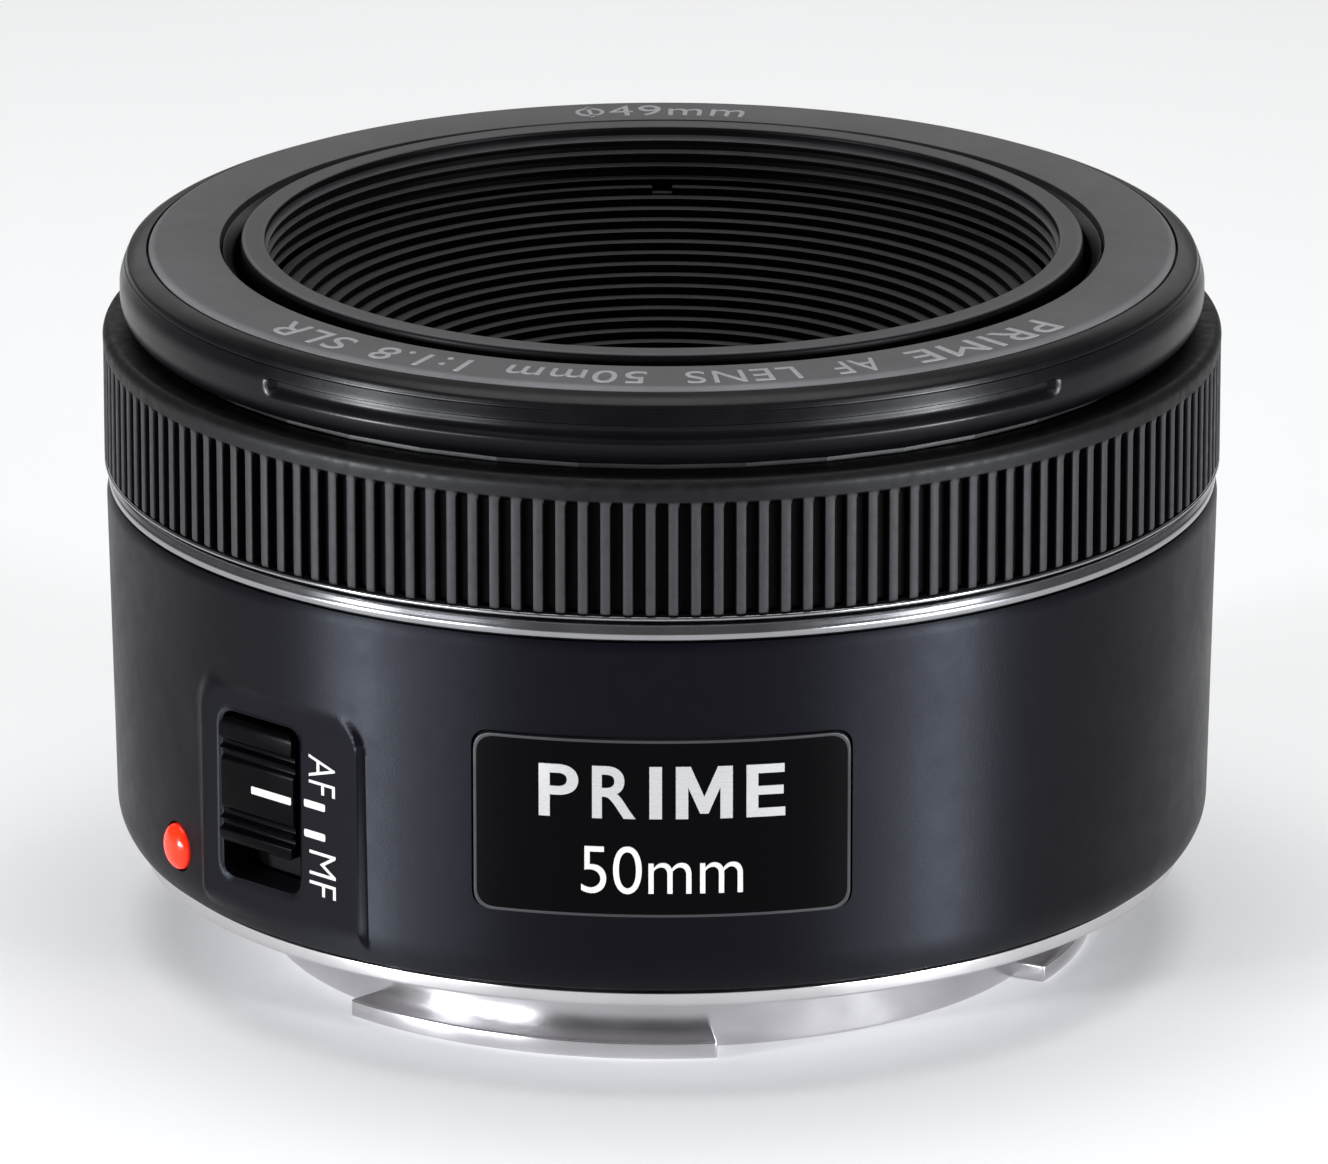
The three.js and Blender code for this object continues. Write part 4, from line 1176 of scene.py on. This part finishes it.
def front_ring():
    bottom, top = FRONT.bottom, FRONT.top
    outer = FRONT.radius
    floor = top - 1.25
    groove_top, groove_bottom = top - 1.9, top - 2.85
    profile = divided(rounded([
        (FRONT_INSIDE, bottom),
        (outer - 0.55, bottom, 0.1),
        (outer - 0.25, bottom + 0.35, 0.2),
        (outer, bottom + 1.1, 0.4),
        (outer, top - 2.0, 0.4),
        (outer - 0.3, top - 1.2),
        (outer - 0.42, top - 1.16),
        (outer - 0.43, top - 1.08),
        (outer - 0.38, top - 1.04),
        (outer - 0.46, top - 0.78, 0.15),
        (outer - 1.0, top - 0.42, 0.4),
        (FACE_OUTSIDE + 0.28, top - 0.27, 0.05),
        (FACE_OUTSIDE + 0.28, floor),
        (FACE_INSIDE - 0.2, floor),
        (FACE_INSIDE - 0.2, top - 0.3, 0.06),
        (FRONT_INSIDE, top - 0.9, 0.1),
    ], steps=5), 0.14)

    def hood_groove(angle, radius, height):
        """Two grooves, in front and behind, with a steep upper wall and a sloping lower one."""
        if radius < outer - 0.7 or not groove_bottom - 0.3 < height < groove_top + 0.3:
            return radius
        from_middle = abs((angle + 90) % 180 - 90)
        along = 1 - smooth_step(from_middle, HOOD_GROOVE - 0.5, HOOD_GROOVE)
        upper = 1 - smooth_step(height, groove_top - 0.1, groove_top)
        lower = smooth_step(height, groove_bottom - 0.25, groove_bottom + 0.5)
        return radius - HOOD_GROOVE_DEPTH * along * upper * lower

    ring = turned("front_casing", profile, 720, hood_groove)
    shade(ring, 35)
    place(ring, RING_PLASTIC, "housing", "shell_plastic", "front_ring")


def front_face():
    top = FACE.top
    profile = rounded([
        (FACE_INSIDE, FACE.bottom),
        (FACE_OUTSIDE + 0.14, FACE.bottom),
        (FACE_OUTSIDE + 0.14, top - 0.3, 0.06),
        (FACE_OUTSIDE - 0.05, top, 0.3),
        (FACE_INSIDE, top, 0.06),
    ])
    ring = turned("lettered_face", profile, 360)
    shade(ring)
    place(ring, FACE_PLASTIC, "housing", "face_plastic", "front_face_ring")
    face_words(top)


def face_words(surface):
    near, far = 29.68, 29.38
    words = (
        # name, text, angle, radius, width, height
        ("face_word_1", "PRIME", 41.1, near, 11.1, 2.4),
        ("face_word_2", "AF", 23.2, near, 3.0, 2.4),
        ("face_word_3", "LENS", 9.3, near, 6.8, 2.4),
        ("face_word_4", "50mm", -10.05, near, 8.55, 2.4),
        ("face_word_5", "1:1.8", -29.3, near, 6.3, 2.4),
        ("face_word_6", "SLR", -45.3, near, 6.1, 2.4),
        ("face_thread_size", "49mm", 178.15, far, 8.75, 2.3),
        ("face_diameter_ring", "O", 189.05, far - 0.07, 1.85, 1.8),
        ("face_diameter_bar", "I", 189.05, far - 0.07, 0.26, 2.3),
    )
    for name, text, angle, radius, width, height in words:
        word = lettering(name, text_mesh(name, text, spacing=1.1), width, height, 0.03)
        on_face(word, radius, angle, surface - 0.005)
        place(word, FACE_LETTERS, "housing", "white_nylon")


def filter_barrel():
    top = FILTER.top - 0.2
    outer = FILTER.radius
    relief = FILTER_INSIDE + 0.42
    root, tip = FILTER_INSIDE + 0.15, FILTER_INSIDE - 0.15
    thread_top = FILTER.top - 1.15
    thread = []
    for i in range(THREAD_TURNS):
        crest = thread_top - i * THREAD_PITCH
        thread += [
            (root, crest + 0.2),
            (tip, crest + 0.04),
            (tip, crest - 0.04),
            (root, crest - 0.35),
        ]
    profile = rounded([
        (FILTER_INSIDE, FILTER.bottom),
        (outer, FILTER.bottom),
        (outer, top, 0.35),
        (FILTER_INSIDE - 0.05, top, 0.3),
        (FILTER_INSIDE, top - 0.4),
        (relief, top - 0.5),
        (relief, thread_top + 0.25),
        *thread,
    ], steps=6)
    barrel = turned("inner_barrel", profile, 360)
    shade(barrel, 35)
    place(barrel, BARREL_PLASTIC, "lens_group", "shell_plastic", "filter_barrel")


def front_baffle():
    outside, top = BAFFLE_TOP
    inside, bottom = BAFFLE_BOTTOM
    run, rise = (outside - inside) / BAFFLE_STEPS, (top - bottom) / BAFFLE_STEPS
    undercut = 0.12
    stairs = []
    for i in range(BAFFLE_STEPS):
        radius, height = outside - i * run, top - i * rise
        stairs += [(radius, height, 0.07), (radius + undercut, height - rise)]
    profile = rounded([
        *stairs,
        (inside, bottom - 0.3, 0.1),
        (inside, bottom - 0.7),
        (15.3, bottom - 0.7),
        (17, bottom),
        (BAFFLE.radius, BAFFLE.top - 1.3),
        (BAFFLE.radius, BAFFLE.top, 0.06),
    ], steps=4)
    baffle = turned("ridged_baffle", profile, 300)
    angle, half = BAFFLE_NOTCH
    notch = sector(outside - 0.2, BAFFLE.radius + 0.2, angle - half, angle + half)
    combine(baffle, [prism("notch", notch, top - 0.4, top + 1)])
    shade(baffle, 30)
    place(baffle, BAFFLE_PLASTIC, "lens_group", "matte_black", "front_baffle")


# ---- Glass, cells and iris ----


def sag(curve, radius):
    """Height of a spherical face above its vertex. A positive curve bulges to the front."""
    depth = abs(curve) - math.sqrt(curve ** 2 - radius ** 2)
    return -depth if curve > 0 else depth


ELEMENTS = (
    # front vertex, front curve, rear vertex, rear curve, half diameter
    (32.4, 34, 28.2, 150, 14.2),
    (27.8, 24, 23.8, 40, 12.2),
    (23.3, 38, 21.7, 15.5, 10.8),
    (10.6, -16, 9.2, 60, 10.2),
    (8.9, 60, 4.6, -24, 10.2),
    (4.2, 70, 1.3, -45, 10.5),
)


SAG_STEPS = 20


def lens_elements():
    for i, (front, front_curve, rear, rear_curve, radius) in enumerate(ELEMENTS):
        radii = [radius * step / SAG_STEPS for step in range(SAG_STEPS + 1)]
        rear_face = [(r, rear + sag(rear_curve, r)) for r in radii]
        front_face = [(r, front + sag(front_curve, r)) for r in reversed(radii)]
        element = turned_solid(f"glass_{i + 1}", rear_face + front_face, 128)
        shade(element, 25)
        look = FRONT_GLASS if i in (0, len(ELEMENTS) - 1) else INNER_GLASS
        place(element, look, "lens_group", "optical_glass", f"lens_{i + 1}")


def cells():
    """The two cells that hold the glass, and the rings that keep it in. The profiles are
    [radius, height, setback] corners, node by node."""
    rings = {
        "front_cell": [
            (11.1, 17.9), (20.3, 17.9), (20.3, 27.9), (16.6, 27.9),
            (16.6, 31.5, 0.2), (15.5, 31.5, 0.2), (15.5, 29.6), (14.5, 29.6),
            (14.5, 26.9), (12.5, 26.9), (12.5, 21.4), (11.1, 21.4)],
        "front_retaining_ring": [
            (13.8, 29.9, 0.1), (15.2, 29.9), (15.2, 31.2, 0.15), (13.8, 31.2, 0.3)],
        "rear_cell": [
            (10.8, 1.2, 0.15), (13.4, 1.2, 0.3), (13.4, 13.1), (10.5, 13.1),
            (10.5, 3.9), (10.8, 3.9)],
        "rear_retaining_ring": [
            (9.4, 1.3, 0.2), (10.5, 1.3, 0.1), (10.5, 1.95), (9.4, 1.95)],
    }
    for node, corners in rings.items():
        ring = turned("turned_" + node, rounded(corners, 4), 192)
        shade(ring)
        place(ring, MATTE_PLASTIC, "lens_group", "matte_black", node)


# ---- The scene ----


def make_floor():
    half = FLOOR_HALF_WIDTH
    corners = [(-half, -half, 0), (half, -half, 0), (half, half, 0), (-half, half, 0)]
    floor = mesh_object("floor", corners, [(0, 1, 2, 3)])
    look = Look("floor_paper", Roughness=0.9, Specular_IOR_Level=0.1)
    look.colours(look.noise(120, detail=3), scaled(WHITE, 0.88), scaled(WHITE, 0.9))
    floor.data.materials.append(look.material)


make_camera()
make_lights()
make_floor()
dress_cad_nodes()
bayonet_mount()
mount_screws()
rear_cover()
contact_block()
outer_barrel()
name_plate()
plate_words()
mount_index_dot()
switch_knob()
switch_marks()
trim_ring()
focus_ring()
front_ring()
front_face()
filter_barrel()
front_baffle()
lens_elements()
cells()
